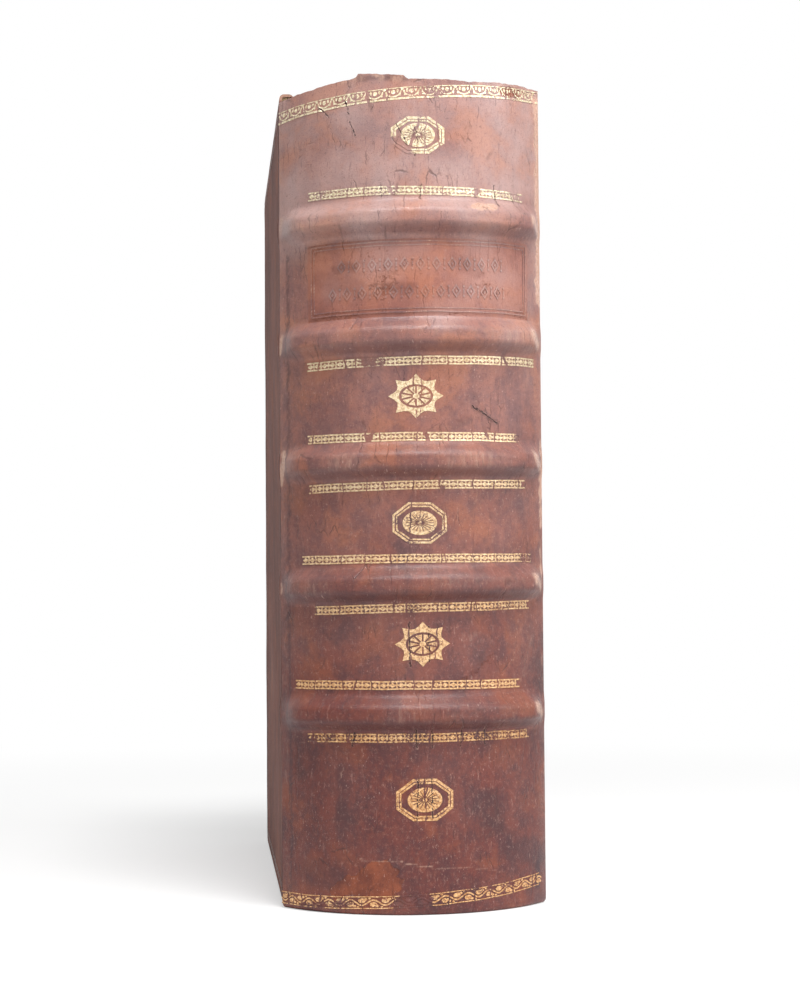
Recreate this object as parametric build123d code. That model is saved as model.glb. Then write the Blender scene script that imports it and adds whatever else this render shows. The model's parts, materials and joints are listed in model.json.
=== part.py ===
from build123d import *
import math
import os

# Antique quarto dictionary in full calf, sewn on raised cords that are laced into its boards.
# It stands on its tail. +Z runs from tail to head, -Y is the spine and +X the front cover.
# The origin is the middle of the base of the overall box. Lengths are in millimetres.

# Overall sizes, leather included
HEIGHT = 258.0  # covers, tail to head
THICKNESS = 83.6  # across both covers
DEPTH = 205.0  # face of the spine to the fore edge of the covers
SPINE_ROUND = 23.0  # how far the rounded spine stands out past the joints

# Layers
LEATHER = 1.0  # calf on the spine and over the boards
PARED_LEATHER = 0.45  # the same calf, pared thin where it is turned in
BOARD = 3.2  # pasteboard
LINING = 0.35  # parchment on the backs of the leaves
ENDPAPER = 0.25  # pastedowns and flyleaves
LABEL = 0.3  # title label
PASTE = 0.05  # room for paste between two layers
COVER_GAP = 0.3  # air between a closed cover and the leaves

# Leaves
SQUARE = 3.5  # how far the boards stand past the leaves at head and tail
FORE_SQUARE = 4.0  # the same at the fore edge
SHOULDER_SET = 0.5  # tip of the shoulder, short of the joint
SHOULDER_ROOT = 0.1  # foot of the shoulder, short of the joint

# Sewing cords, and the bands they raise on the spine
BAND_HEIGHTS = (60.9, 100.6, 138.8, 177.5, 214.3)
CORD = 4.6  # diameter
BAND_FOOT = 2.2  # radius in which the leather of a band runs out on the spine
BAND_FOOT_SINK = 0.25  # how far that radius dips under the face of the leather
BAND_FADE_ANGLE = 40.0  # from here the cord turns down towards the joint
LINING_SET = 0.4  # lining strip to cord

# Slips, the ends of the cords that are laced into the boards
SLIP_WIDTH = 6.0
SLIP_DEPTH = 2.2
SLIP_REACH = 12.0  # joint to the hole in the board
SLIP_HOLE = 3.8
SLIP_FAN = 11.0  # frayed end, pasted out on the inside of the board
SLIP_FAN_DEPTH = 0.4

# Covers
JOINT_GAP = 0.15  # each side of the line on which a cover turns
BOARD_SET = 0.4  # spine edge of a board, back from that line
BOARD_CORNER = 2.5
LEATHER_EDGE = 1.3  # how round the leather is over the edges of a board
TURN_IN = 15.0
PASTEDOWN_MARGIN = 6.0  # leather left showing round a pastedown
PASTEDOWN_SET = 1.0  # pastedown to joint
INFILL_SET = 0.3  # paper infill to the turned-in leather round it
FLYLEAF_SET = 0.3  # flyleaf to joint

# Cap of leather at the tail, and the endbands
CAP_DEPTH = 3.4
CAP_ROUND = 0.9
ENDBAND_WIDTH = 3.0
ENDBAND_ROUND = 0.8
ENDBAND_BEAD = 1.1
ENDBAND_ANGLE = 50.0

# Head of the spine, where the cap is worn away: (place across the spine, height past the covers)
HEAD_EDGE = (
    (-41.8, -3.5),
    (-39.0, -1.9),
    (-32.0, -1.0),
    (-22.0, 0.7),
    (-19.0, 0.7),
    (-19.0, 2.2),  # a tab of the cap is left from here
    (-3.0, 1.3),
    (-3.0, 0.1),
    (18.0, 0.1),
    (32.0, 1.5),
    (41.8, 2.2),
)

# Title label, in the compartment under the top band
LABEL_ANGLE = 45.0
LABEL_MARGIN = 0.8  # bare leather between the label and the foot of a band
LABEL_COMPARTMENT = 4  # counted from the tail, with the tail compartment as 0

# Radii of the spine's layers, all struck from one axis
HALF = THICKNESS / 2
R_FACE = (HALF**2 + SPINE_ROUND**2) / (2 * SPINE_ROUND)
R_LEATHER_BACK = R_FACE - LEATHER
R_LINING = R_LEATHER_BACK - PASTE
R_LINING_BACK = R_LINING - LINING
R_LEAVES = R_LINING_BACK - PASTE
R_CORD = R_LEAVES + PASTE + CORD / 2
BAND_RADIUS = CORD / 2 + PASTE + LEATHER
BAND_RISE = R_CORD + BAND_RADIUS - R_FACE
JOINT_ANGLE = math.degrees(math.asin(HALF / R_FACE))

# Places along Y
SPINE_Y = BAND_RISE - (DEPTH + BAND_RISE) / 2
AXIS_Y = SPINE_Y + R_FACE
JOINT_Y = SPINE_Y + SPINE_ROUND
FORE_EDGE_Y = SPINE_Y + DEPTH

# Places along X on the front cover, from the outside in
BOARD_X = HALF - LEATHER - PASTE
BOARD_BACK_X = BOARD_X - BOARD
TURN_IN_X = BOARD_BACK_X - PASTE
TURN_IN_BACK_X = TURN_IN_X - PARED_LEATHER
PASTEDOWN_X = TURN_IN_BACK_X - PASTE
PASTEDOWN_BACK_X = PASTEDOWN_X - ENDPAPER
FLYLEAF_X = PASTEDOWN_BACK_X - COVER_GAP
FLYLEAF_BACK_X = FLYLEAF_X - ENDPAPER
LEAVES_X = FLYLEAF_BACK_X - PASTE

# Foot of a band: a radius that touches the round of the band and dips under the leather's face
FOOT_R = R_FACE - R_CORD + BAND_FOOT - BAND_FOOT_SINK
BAND_HALF_WIDTH = math.sqrt((BAND_RADIUS + BAND_FOOT) ** 2 - FOOT_R**2)

# The cord leaves the spine's round on a tighter arc, which ends in line with the board
CORD_END_X = HALF - BAND_RADIUS
FADE_SIN = math.sin(math.radians(BAND_FADE_ANGLE))
FADE_COS = math.cos(math.radians(BAND_FADE_ANGLE))
R_FADE = (CORD_END_X - R_CORD * FADE_SIN) / (1 - FADE_SIN)
FADE_AXIS = ((R_CORD - R_FADE) * FADE_SIN, AXIS_Y - (R_CORD - R_FADE) * FADE_COS)
CORD_STRAIGHT = JOINT_Y - FADE_AXIS[1]  # above zero where that arc ends short of the joint

FAR = 4 * max(HEIGHT, DEPTH)  # reach of a cutting block
OVERCUT = 1.0


def block(x, y, z):
    """A box from three pairs of limits."""
    size = [high - low for low, high in (x, y, z)]
    middle = [(high + low) / 2 for low, high in (x, y, z)]
    return Pos(*middle) * Box(*size)


def section_plane(angle, axis):
    """The upright plane through an axis, at an angle from -Y towards +X."""
    a = math.radians(angle)
    return Plane(
        origin=(*axis, 0),
        x_dir=(math.sin(a), -math.cos(a), 0),
        z_dir=(-math.cos(a), -math.sin(a), 0),
    )


def turned(section, start, end, axis=(0.0, AXIS_Y)):
    """A section of (radius, height) turned about an upright axis from one angle to another."""
    plane = section_plane(start, axis)
    return revolve(plane * section, Axis((*axis, 0), (0, 0, 1)), end - start)


def rectangle(r_low, r_high, z_low, z_high):
    """A face in the section plane."""
    middle = ((r_low + r_high) / 2, (z_low + z_high) / 2)
    return Pos(*middle) * Rectangle(r_high - r_low, z_high - z_low)


def along_cord(section_at):
    """A section turned along the path of a cord: the spine's round, then down to each joint."""
    run = turned(section_at(R_CORD), -BAND_FADE_ANGLE, BAND_FADE_ANGLE)
    side = turned(section_at(R_FADE), BAND_FADE_ANGLE, 90, FADE_AXIS)
    if CORD_STRAIGHT > 0:
        end = section_plane(90, FADE_AXIS) * section_at(R_FADE)
        side += extrude(end, CORD_STRAIGHT, dir=(0, 1, 0))
    return run + side + mirror(side, about=Plane.YZ)


def cord_room(z):
    """The space that a cord takes, with paste round it."""
    return along_cord(lambda r: Pos(r, z) * Circle(CORD / 2 + PASTE))


def band_section(r, z):
    """Leather drawn over a cord: round over the top, run out on to the spine at each side."""
    foot = R_FACE - R_CORD - BAND_FOOT_SINK
    back = R_LEATHER_BACK - R_CORD
    reach = BAND_RADIUS + BAND_FOOT
    touch = (BAND_RADIUS * FOOT_R / reach, BAND_RADIUS * BAND_HALF_WIDTH / reach)
    to_foot = math.pi
    to_touch = math.atan2(-BAND_HALF_WIDTH, -FOOT_R) % (2 * math.pi)
    mid = (to_foot + to_touch) / 2
    bend = (
        FOOT_R + BAND_FOOT * math.cos(mid),
        BAND_HALF_WIDTH + BAND_FOOT * math.sin(mid),
    )
    upper = [
        Line((back, 0), (back, BAND_HALF_WIDTH)),
        Line((back, BAND_HALF_WIDTH), (foot, BAND_HALF_WIDTH)),
        ThreePointArc((foot, BAND_HALF_WIDTH), bend, touch),
    ]
    lower = [mirror(edge, about=Plane.XZ) for edge in upper]
    top = ThreePointArc(touch, (BAND_RADIUS, 0), (touch[0], -touch[1]))
    return Pos(r, z) * make_face([*upper, top, *lower])


def cover_zone():
    """Everything on the cover side of the two joints."""
    return block((-FAR, FAR), (JOINT_Y - JOINT_GAP, FAR), (-FAR, FAR))


def text_block():
    """The sewn leaves: rounded and backed, so the spine and the fore edge share one curve."""
    tip_y = JOINT_Y - SHOULDER_SET
    tip_x = math.sqrt(R_LEAVES**2 - (AXIS_Y - tip_y) ** 2)
    root = (LEAVES_X, JOINT_Y - SHOULDER_ROOT)
    corner_y = FORE_EDGE_Y - FORE_SQUARE
    leaf_width = corner_y - AXIS_Y + math.sqrt(R_LEAVES**2 - LEAVES_X**2)
    back_y = AXIS_Y - R_LEAVES
    outline = [
        ThreePointArc((-tip_x, tip_y), (0, back_y), (tip_x, tip_y)),
        Line((tip_x, tip_y), root),
        Line(root, (LEAVES_X, corner_y)),
        ThreePointArc((LEAVES_X, corner_y), (0, back_y + leaf_width), (-LEAVES_X, corner_y)),
        Line((-LEAVES_X, corner_y), (-root[0], root[1])),
        Line((-root[0], root[1]), (-tip_x, tip_y)),
    ]
    leaves = extrude(Pos(0, 0, SQUARE) * make_face(outline), HEIGHT - 2 * SQUARE)
    for z in BAND_HEIGHTS:
        leaves -= cord_room(z)
    return leaves


def sewing_cord(z):
    """A hemp cord that the sections are sewn round."""
    cord = along_cord(lambda r: Pos(r, z) * Circle(CORD / 2))
    return cord - cover_zone()


def compartments(clear, end):
    """The height of each stretch between two cords, and between the end cords and the ends."""
    lows = [end, *(z + clear for z in BAND_HEIGHTS)]
    highs = [*(z - clear for z in BAND_HEIGHTS), HEIGHT - end]
    return list(zip(lows, highs))


def spine_lining(z_low, z_high):
    """A strip of parchment pasted to the backs of the leaves between two cords."""
    tip_angle = math.degrees(math.acos((AXIS_Y - JOINT_Y + SHOULDER_SET) / R_LEAVES))
    strip = rectangle(R_LINING_BACK, R_LINING, z_low, z_high)
    return turned(strip, -tip_angle, tip_angle) - cover_zone()


def endband(z_low, bead_z):
    """Thread worked over a core, tied down on the edge of the leaves behind the cap."""
    height = SQUARE - LEATHER - 2 * PASTE
    r_inner = R_LINING - ENDBAND_WIDTH
    core = fillet(
        rectangle(r_inner, R_LINING, z_low, z_low + height).vertices(), ENDBAND_ROUND
    )
    bead = Pos(r_inner, bead_z) * Circle(ENDBAND_BEAD / 2)
    return turned(core + bead, -ENDBAND_ANGLE, ENDBAND_ANGLE)


def worn_head():
    """What is lost from the head of the spine: all that stands above its worn edge."""
    edge = [(x, HEIGHT + rise) for x, rise in HEAD_EDGE]
    sides = [(FAR, edge[-1][1]), (FAR, FAR), (-FAR, FAR), (-FAR, edge[0][1])]
    lost = make_face(Polyline(*edge, *sides, close=True))
    return extrude(Plane.XZ * lost, FAR, both=True)


def spine_leather():
    """The calf over the spine: folded over at the tail, worn at the head, drawn over the cords."""
    r_cap = R_FACE - CAP_DEPTH
    top = HEIGHT + max(rise for x, rise in HEAD_EDGE)
    path = Polyline(
        (R_FACE, 0),
        (R_FACE, top),
        (R_LEATHER_BACK, top),
        (R_LEATHER_BACK, LEATHER),
        (r_cap, LEATHER),
        (r_cap, 0),
        close=True,
    )
    section = make_face(path)
    fold = [v for v in section.vertices() if v.X > R_LEATHER_BACK and v.Y < LEATHER]
    section = fillet(fold, CAP_ROUND)
    skin = turned(section, -JOINT_ANGLE, JOINT_ANGLE) - worn_head()
    inside = Pos(0, AXIS_Y, HEIGHT / 2) * Cylinder(R_FACE - LEATHER / 2, HEIGHT)
    neck = CORD / 2 + PASTE
    for z in BAND_HEIGHTS:
        skin += along_cord(lambda r: band_section(r, z)) - inside
        skin -= cord_room(z)
        slot = rectangle(R_LEATHER_BACK - OVERCUT, R_CORD, z - neck, z + neck)
        skin -= turned(slot, -BAND_FADE_ANGLE, BAND_FADE_ANGLE)
    return skin - cover_zone()


def title_label():
    """A thin label of redder leather, pasted on between two bands."""
    z_low = BAND_HEIGHTS[LABEL_COMPARTMENT - 1] + BAND_HALF_WIDTH + LABEL_MARGIN
    z_high = BAND_HEIGHTS[LABEL_COMPARTMENT] - BAND_HALF_WIDTH - LABEL_MARGIN
    strip = rectangle(R_FACE + PASTE, R_FACE + PASTE + LABEL, z_low, z_high)
    return turned(strip, -LABEL_ANGLE, LABEL_ANGLE)


def panel(x, y, z, corner):
    """A flat piece parallel to the covers, with its two fore-edge corners rounded."""
    slab = block(x, y, z)
    corners = [
        edge
        for edge in slab.edges().filter_by(Axis.X)
        if abs(edge.center().Y - y[1]) < PASTE
    ]
    return fillet(corners, corner)


def slip(z, grow):
    """The end of a cord: along a channel in the board, in through a hole, and frayed out."""
    start = JOINT_Y + JOINT_GAP
    hole_y = JOINT_Y + SLIP_REACH
    half = SLIP_WIDTH / 2 + grow
    x_run = (BOARD_X - SLIP_DEPTH - grow, BOARD_X + grow)
    x_through = (BOARD_BACK_X, BOARD_X)
    x_fan = (BOARD_BACK_X - grow, BOARD_BACK_X + SLIP_FAN_DEPTH + grow)

    def disc(radius, x):
        return Pos(sum(x) / 2, hole_y, z) * Rot(0, 90, 0) * Cylinder(radius, x[1] - x[0])

    run = block(x_run, (start - grow, hole_y), (z - half, z + half)) + disc(half, x_run)
    return run + disc(SLIP_HOLE / 2 + grow, x_through) + disc(SLIP_FAN / 2 + grow, x_fan)


def cord_slips():
    """The five slips of one board."""
    return Compound(children=[slip(z, 0) for z in BAND_HEIGHTS])


def cover_board():
    """Pasteboard, with channels, holes and shallow hollows for the slips."""
    edge = LEATHER + PASTE
    board = panel(
        (BOARD_BACK_X, BOARD_X),
        (JOINT_Y + BOARD_SET, FORE_EDGE_Y - edge),
        (edge, HEIGHT - edge),
        BOARD_CORNER,
    )
    for z in BAND_HEIGHTS:
        board -= slip(z, PASTE)
    return board


def cover_leather():
    """The calf over a board: one skin, turned in on three sides."""
    corner = BOARD_CORNER + LEATHER
    skin = panel(
        (TURN_IN_BACK_X, HALF),
        (JOINT_Y + JOINT_GAP, FORE_EDGE_Y),
        (0, HEIGHT),
        corner,
    )
    outer_rim = [
        edge
        for edge in skin.faces().sort_by(Axis.X)[-1].edges()
        if edge.center().Y > JOINT_Y + OVERCUT
    ]
    skin = fillet(outer_rim, LEATHER_EDGE)
    pocket = panel(
        (TURN_IN_X, BOARD_X + PASTE),
        (JOINT_Y - OVERCUT, FORE_EDGE_Y - LEATHER),
        (LEATHER, HEIGHT - LEATHER),
        BOARD_CORNER + PASTE,
    )
    window = block(
        (TURN_IN_BACK_X - OVERCUT, TURN_IN_X + OVERCUT),
        (JOINT_Y - OVERCUT, FORE_EDGE_Y - TURN_IN),
        (TURN_IN, HEIGHT - TURN_IN),
    )
    return skin - pocket - window


def pastedown():
    """Marbled paper over the inside of a board, with a paper infill between the turn-ins."""
    y_low = JOINT_Y + PASTEDOWN_SET
    sheet = block(
        (PASTEDOWN_BACK_X, PASTEDOWN_X),
        (y_low, FORE_EDGE_Y - PASTEDOWN_MARGIN),
        (PASTEDOWN_MARGIN, HEIGHT - PASTEDOWN_MARGIN),
    )
    inner = TURN_IN + INFILL_SET
    infill = block(
        (PASTEDOWN_BACK_X, TURN_IN_X),
        (y_low, FORE_EDGE_Y - inner),
        (inner, HEIGHT - inner),
    )
    return sheet + infill


def flyleaf():
    """The free endpaper that lies on the leaves."""
    return block(
        (FLYLEAF_BACK_X, FLYLEAF_X),
        (JOINT_Y + FLYLEAF_SET, FORE_EDGE_Y - FORE_SQUARE),
        (SQUARE, HEIGHT - SQUARE),
    )


def pieces():
    """Each piece of the book by name."""
    endband_height = SQUARE - LEATHER - 2 * PASTE
    tail_z = SQUARE - PASTE - endband_height
    head_z = HEIGHT - SQUARE + PASTE
    bead = ENDBAND_BEAD / 2
    made = {
        "text_block": text_block(),
        "spine_leather": spine_leather(),
        "title_label": title_label(),
        "tail_endband": endband(tail_z, SQUARE - PASTE - bead),
        "head_endband": endband(head_z, head_z + bead),
    }
    for number, z in enumerate(BAND_HEIGHTS, 1):
        made[f"sewing_cord_{number}"] = sewing_cord(z)
    strips = compartments(CORD / 2 + LINING_SET, SQUARE)
    for number, (z_low, z_high) in enumerate(strips, 1):
        made[f"spine_lining_{number}"] = spine_lining(z_low, z_high)
    one_cover = {
        "board": cover_board(),
        "leather": cover_leather(),
        "cord_slips": cord_slips(),
        "pastedown": pastedown(),
        "flyleaf": flyleaf(),
    }
    for name, piece in one_cover.items():
        made[f"front_{name}"] = piece
        made[f"back_{name}"] = mirror(piece, about=Plane.YZ)
    return made


os.makedirs("parts", exist_ok=True)
for name, piece in pieces().items():
    export_step(piece, f"parts/{name}.step")
print("joint at x", round(HALF, 3), "y", round(JOINT_Y, 3), "spine radius", round(R_FACE, 3))
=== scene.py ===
# %% [markdown]
# # An antique dictionary in full calf
# The binding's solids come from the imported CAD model, which stands here as a fixed frame.
# Everything that is soft, worn, gilded or printed is made in this lesson: the calf skin over
# the spine and boards, the leaves, the endbands, the gold tooling and the finishes.
# The frame is loaded first, because each piece takes its place from a node of it.

# %% Load the frame
import json
import math

import bpy
import numpy as np
from mathutils import Matrix, Vector, noise

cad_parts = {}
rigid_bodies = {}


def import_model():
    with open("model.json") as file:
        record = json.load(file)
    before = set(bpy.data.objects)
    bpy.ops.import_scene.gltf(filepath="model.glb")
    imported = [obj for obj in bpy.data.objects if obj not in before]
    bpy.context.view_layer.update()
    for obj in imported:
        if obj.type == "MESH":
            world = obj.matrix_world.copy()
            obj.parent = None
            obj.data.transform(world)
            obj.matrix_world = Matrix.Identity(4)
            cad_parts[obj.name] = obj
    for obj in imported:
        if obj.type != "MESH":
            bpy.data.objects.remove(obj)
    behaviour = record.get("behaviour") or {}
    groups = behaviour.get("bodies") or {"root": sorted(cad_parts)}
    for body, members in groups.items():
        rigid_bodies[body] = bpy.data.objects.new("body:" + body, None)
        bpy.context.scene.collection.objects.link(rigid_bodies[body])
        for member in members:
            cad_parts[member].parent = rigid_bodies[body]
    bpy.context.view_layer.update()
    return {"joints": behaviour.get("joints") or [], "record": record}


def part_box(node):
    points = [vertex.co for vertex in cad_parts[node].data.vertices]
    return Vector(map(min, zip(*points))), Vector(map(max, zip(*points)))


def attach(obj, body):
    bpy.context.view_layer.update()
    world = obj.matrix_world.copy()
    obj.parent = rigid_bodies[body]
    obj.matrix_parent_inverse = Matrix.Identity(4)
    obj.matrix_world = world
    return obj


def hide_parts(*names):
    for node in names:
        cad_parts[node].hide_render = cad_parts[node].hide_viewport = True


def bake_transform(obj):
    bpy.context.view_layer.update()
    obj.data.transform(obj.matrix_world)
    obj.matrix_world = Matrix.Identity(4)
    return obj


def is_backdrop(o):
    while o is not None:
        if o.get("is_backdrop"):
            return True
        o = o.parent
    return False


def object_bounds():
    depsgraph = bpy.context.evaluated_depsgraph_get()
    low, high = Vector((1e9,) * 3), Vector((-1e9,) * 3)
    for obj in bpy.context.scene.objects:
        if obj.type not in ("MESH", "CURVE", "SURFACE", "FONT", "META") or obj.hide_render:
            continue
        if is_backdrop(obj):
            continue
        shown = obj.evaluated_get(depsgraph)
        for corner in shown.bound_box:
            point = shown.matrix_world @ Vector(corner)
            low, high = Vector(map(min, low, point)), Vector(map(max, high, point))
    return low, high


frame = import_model()
MM = 0.001

# %% [markdown]
# ## The spine in numbers
# A rounded spine is a stretch of a cylinder: the middle stands out and both sides fall back
# to the joints. Knowing the spine's width and its round gives the radius, as a bookbinder
# knows it from the backing boards. The five raised bands lie over the sewing cords, so their
# heights are read from the cords in the frame.

# %% Measure the spine
leather_low, leather_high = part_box("spine_leather")
BAND_RISE = 4.25 * MM
HALF = leather_high.x
SPINE_Y = leather_low.y + BAND_RISE
JOINT_Y = frame["joints"][0]["pos_m"][1]
ROUND = JOINT_Y - SPINE_Y
R_FACE = (HALF**2 + ROUND**2) / (2 * ROUND)
AXIS_Y = SPINE_Y + R_FACE
JOINT_ANGLE = math.asin(HALF / R_FACE)
S_EDGE = R_FACE * JOINT_ANGLE
COVER_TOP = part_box("back_leather")[1].z
BANDS = []
for number in range(1, 6):
    low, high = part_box(f"sewing_cord_{number}")
    BANDS.append((low.z + high.z) / 2)
print("spine radius", round(R_FACE / MM, 2), "bands at", [round(z / MM, 1) for z in BANDS])

# %% [markdown]
# ## The camera
# The book stands upright and the camera stood a little to its left, low down, and was
# tipped up by under three degrees. A long lens keeps the upright edges nearly
# parallel. The camera is built from its three axes, so no angle order can be mistaken.

# %% Place the camera
EYE = Vector((-64.7, -755.2, 97.0)) * MM
YAW, PITCH, ROLL = (math.radians(angle) for angle in (-5.13, 2.61, 0.42))
LENS = 77.04
turn = Matrix.Rotation(YAW, 3, "Z") @ Matrix.Rotation(PITCH, 3, "X") @ Matrix.Rotation(ROLL, 3, "Y")
bpy.ops.object.camera_add()
camera = bpy.context.object
camera.data.lens = LENS
camera.data.sensor_width = 36
camera.data.clip_start = 0.01
axes = Matrix((turn.col[0], turn.col[2], -turn.col[1])).transposed()
camera.matrix_world = Matrix.Translation(EYE) @ axes.to_4x4()
bpy.context.scene.camera = camera
print("camera", [round(value / MM) for value in camera.location])

# %% [markdown]
# ## Two habits before modelling
# An operator works on everything that is selected, and loading the frame leaves its nodes
# selected. So each new piece starts from an empty selection. A finished piece has its origin
# at the world's origin, with its place in its mesh, as the frame's own nodes have.

# %% Start and finish a piece
def start():
    """Leaves edit mode and selects nothing."""
    if bpy.context.mode != "OBJECT":
        bpy.ops.object.mode_set(mode="OBJECT")
    bpy.ops.object.select_all(action="DESELECT")


def settle(name):
    """Names the active piece and puts its place into its mesh."""
    piece = bpy.context.object
    piece.name = name
    piece.data.name = name
    bpy.ops.object.transform_apply(location=True, rotation=True, scale=True)
    return piece


def join(name, parts):
    """Makes one piece of several."""
    start()
    for part in parts:
        part.select_set(True)
    bpy.context.view_layer.objects.active = parts[0]
    bpy.ops.object.join()
    return settle(name)


def modify(piece, kind, **settings):
    """Adds a modifier, sets it and applies it."""
    start()
    piece.select_set(True)
    bpy.context.view_layer.objects.active = piece
    modifier = piece.modifiers.new(kind.title(), kind)
    for key, value in settings.items():
        setattr(modifier, key, value)
    bpy.ops.object.modifier_apply(modifier=modifier.name)


def read_points(piece):
    """The vertices as an array with a row for each."""
    points = np.empty(len(piece.data.vertices) * 3)
    piece.data.vertices.foreach_get("co", points)
    return points.reshape(-1, 3)


def write_points(piece, points):
    """Moves the vertices to the rows of an array."""
    piece.data.vertices.foreach_set("co", points.ravel())
    piece.data.update()


def smooth_shade(piece, degrees=40):
    """Rounds the shading, apart from edges sharper than an angle."""
    start()
    piece.select_set(True)
    bpy.context.view_layer.objects.active = piece
    bpy.ops.object.shade_smooth_by_angle(angle=math.radians(degrees))


def report(piece):
    """Prints how heavy a mesh is and the box it fills."""
    low, high = read_points(piece).min(0) / MM, read_points(piece).max(0) / MM
    faces = sum(len(face.vertices) - 2 for face in piece.data.polygons)
    print(piece.name, faces, "triangles", low.round(1), high.round(1))


# %% [markdown]
# ## Soft steps and gentle hills
# Hand-made surfaces have no straight lines. Two small tools give that: a step with rounded
# ends, for anything that fades, and smooth random hills of a chosen width, for leather that
# was stretched over uneven layers. The hills come from a fixed formula, so each run agrees.

# %% Rules for soft shapes
def step(value, low, high):
    """From 0 to 1 between two values, with soft ends."""
    t = np.clip((value - low) / (high - low), 0, 1)
    return t * t * (3 - 2 * t)


def hills(a, b, width, seed):
    """Smooth random heights from -1 to 1, with hills about as wide as width."""
    return np.array([noise.noise((p / width, q / width, seed)) for p, q in zip(a, b)])


def stroke(a, b, line, radius, soft):
    """1 within radius of a line from (a0, b0) to (a1, b1), 0 outside, in the units of a."""
    a0, b0, a1, b1 = line
    along = np.array([a1 - a0, b1 - b0])
    share = ((a - a0) * along[0] + (b - b0) * along[1]) / max(along @ along, 1e-9)
    share = np.clip(share, 0, 1)
    gap = np.hypot(a - a0 - share * along[0], b - b0 - share * along[1])
    return 1 - step(gap, radius - soft, radius + soft)


# %% [markdown]
# ## The rule for the spine
# Any place on the spine is given by s, the distance from its middle along the round, and z,
# its height. The rule below turns s, z and a small lift into a point, so the skin, the label
# and each gold tool can be laid on the same surface and always fit it.
# Each band is a ridge: gentle above, where the light falls, and steeper below. The bands sit
# a little askew, as hand-sewn ones do, and die away towards the joints.

# %% Rules for the spine's surface
BAND_TILTS = [math.tan(math.radians(angle)) for angle in (0.1, 0.7, 0.8, 1.2, 1.0)]
BAND_ABOVE, BAND_BELOW = 7.0 * MM, 5.7 * MM
BAND_LIFT = 4.0 * MM
BAND_FADE = (43, 57.5)
WAVES = ((26 * MM, 0.30 * MM), (9 * MM, 0.12 * MM), (3.2 * MM, 0.05 * MM))


def band_share(s, z):
    """1 on the crest of a band and 0 between the bands."""
    share = np.zeros(len(s))
    for height, tilt in zip(BANDS, BAND_TILTS):
        rise = z - height - s * tilt
        away = np.where(rise > 0, rise / BAND_ABOVE, -rise / BAND_BELOW)
        share = np.maximum(share, 1 - step(away, 0.22, 1.0))
    angle = np.degrees(np.abs(s) / R_FACE)
    return share * (1 - 0.94 * step(angle, *BAND_FADE))


def skin_lift(s, z):
    """How far the skin stands outside the plain round."""
    lift = BAND_LIFT * band_share(s, z)
    loose = 1 - step(np.abs(s), S_EDGE - 5 * MM, S_EDGE)
    for seed, (width, height) in enumerate(WAVES):
        lift += height * loose * hills(s, z, width, seed + 0.5)
    lift -= 0.7 * MM * step(z, COVER_TOP - 9 * MM, COVER_TOP) * loose
    return lift


def spine_point(s, z, lift):
    """The point at s along the round and z up, lifted off it."""
    radius = R_FACE + lift
    return np.stack([radius * np.sin(s / R_FACE), AXIS_Y - radius * np.cos(s / R_FACE), z], 1)


# %% [markdown]
# ## Wear and painted light, told to each vertex
# Two centuries of handling show in the same places on most bindings: rubbed bands, frayed
# joints, a skinned patch where the surface layer came off. Each vertex gets a colour attribute
# named wear, with red for rubbed pale, which on the band crests is also a painted highlight,
# green for skinned and blue for stains and for the painted shade under the bands, and a number
# named tone for how pale the skin is towards the head, partly faded and partly painted light
# from above. The finish reads both later.

# %% Rules for wear and painted light on the spine
# Each row: start s and z, end s and z, radius, all in millimetres, and a strength.
RUBBED = (
    (17, 218.4, 25, 218.9, 1.3, 1.0),
    (15, 85, 23, 84, 2.2, 0.35),
    (37, 72, 42, 84, 1.6, 0.35),
    (47.5, 102, 47.8, 112, 0.8, 0.8),
    (48.4, 192, 48.9, 256, 2.0, 1.0),
    (48.6, 120, 49.0, 146, 1.3, 0.8),
    (-49.5, 175, -48.2, 179.5, 1.6, 0.9),
    (-49.5, 134, -47.2, 142, 1.8, 0.9),
    (-49.6, 99, -49.0, 101.5, 1.2, 0.7),
    (-49.3, 213, -47.5, 217, 1.4, 0.6),
    (-48.8, 60, -49.3, 250, 0.8, 0.35),
    (49.2, 12, 49.2, 190, 0.8, 0.45),
    (-46.8, 4, -47.2, 205, 0.45, 0.35),
    (-6, 16.2, 3.5, 14.4, 0.45, 0.65),
    (3.5, 14.4, 15.3, 14.0, 0.4, 0.5),
    (15.3, 14.0, 27.1, 12.0, 0.4, 0.45),
    (-19, 16.9, -6, 16.4, 0.45, 0.55),
    (-24.4, 45, -25.8, 40, 0.4, 0.55),
    (-25.8, 40, -25.0, 35, 0.4, 0.5),
    (-18.5, 46, -17.5, 41, 0.4, 0.4),
)
SKINNED = (
    (-14.3, 12.4, -10.5, 12.4, 4.0, 1.0),
    (-20.5, 8.6, -9.5, 8.4, 3.0, 1.0),
    (-27, 7.0, -18, 9.8, 3.0, 1.0),
    (14, 10, 30, 9.5, 2.4, 0.35),
    (31, 256.6, 38, 257.2, 1.5, 0.9),
    (49.3, 200, 49.3, 252, 0.8, 0.8),
    (48.9, 122, 49.1, 144, 0.5, 0.9),
    (15, 72, 23, 78, 2.6, 0.4),
    (-38, 30, -30, 26, 6, 0.35),
)
DARKENED = (
    (-36, 12, -28, 11.5, 4.5, 0.40),
    (-45.2, 4, -45.6, 205, 0.6, 0.6),
    (-26, 199, -21, 199.5, 2.0, 0.6),
    (-10, 193, -2, 193, 1.8, 0.45),
    (12, 201, 20, 199, 2.2, 0.35),
    (17.4, 156.3, 26.6, 151.3, 0.55, 0.6),
    (45, 15.4, 43.6, 6.2, 1.2, 0.9),
    (30, 19, 46, 16, 4.0, 0.5),
    # This row darkens the torn tab at the head.
    (-18.7, 259, -3.2, 258.4, 1.0, 0.55),
    (-25, 44, -25, 24, 1.8, 0.35),
    (-31, 196, -20, 194, 3.0, 0.4),
)


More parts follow.
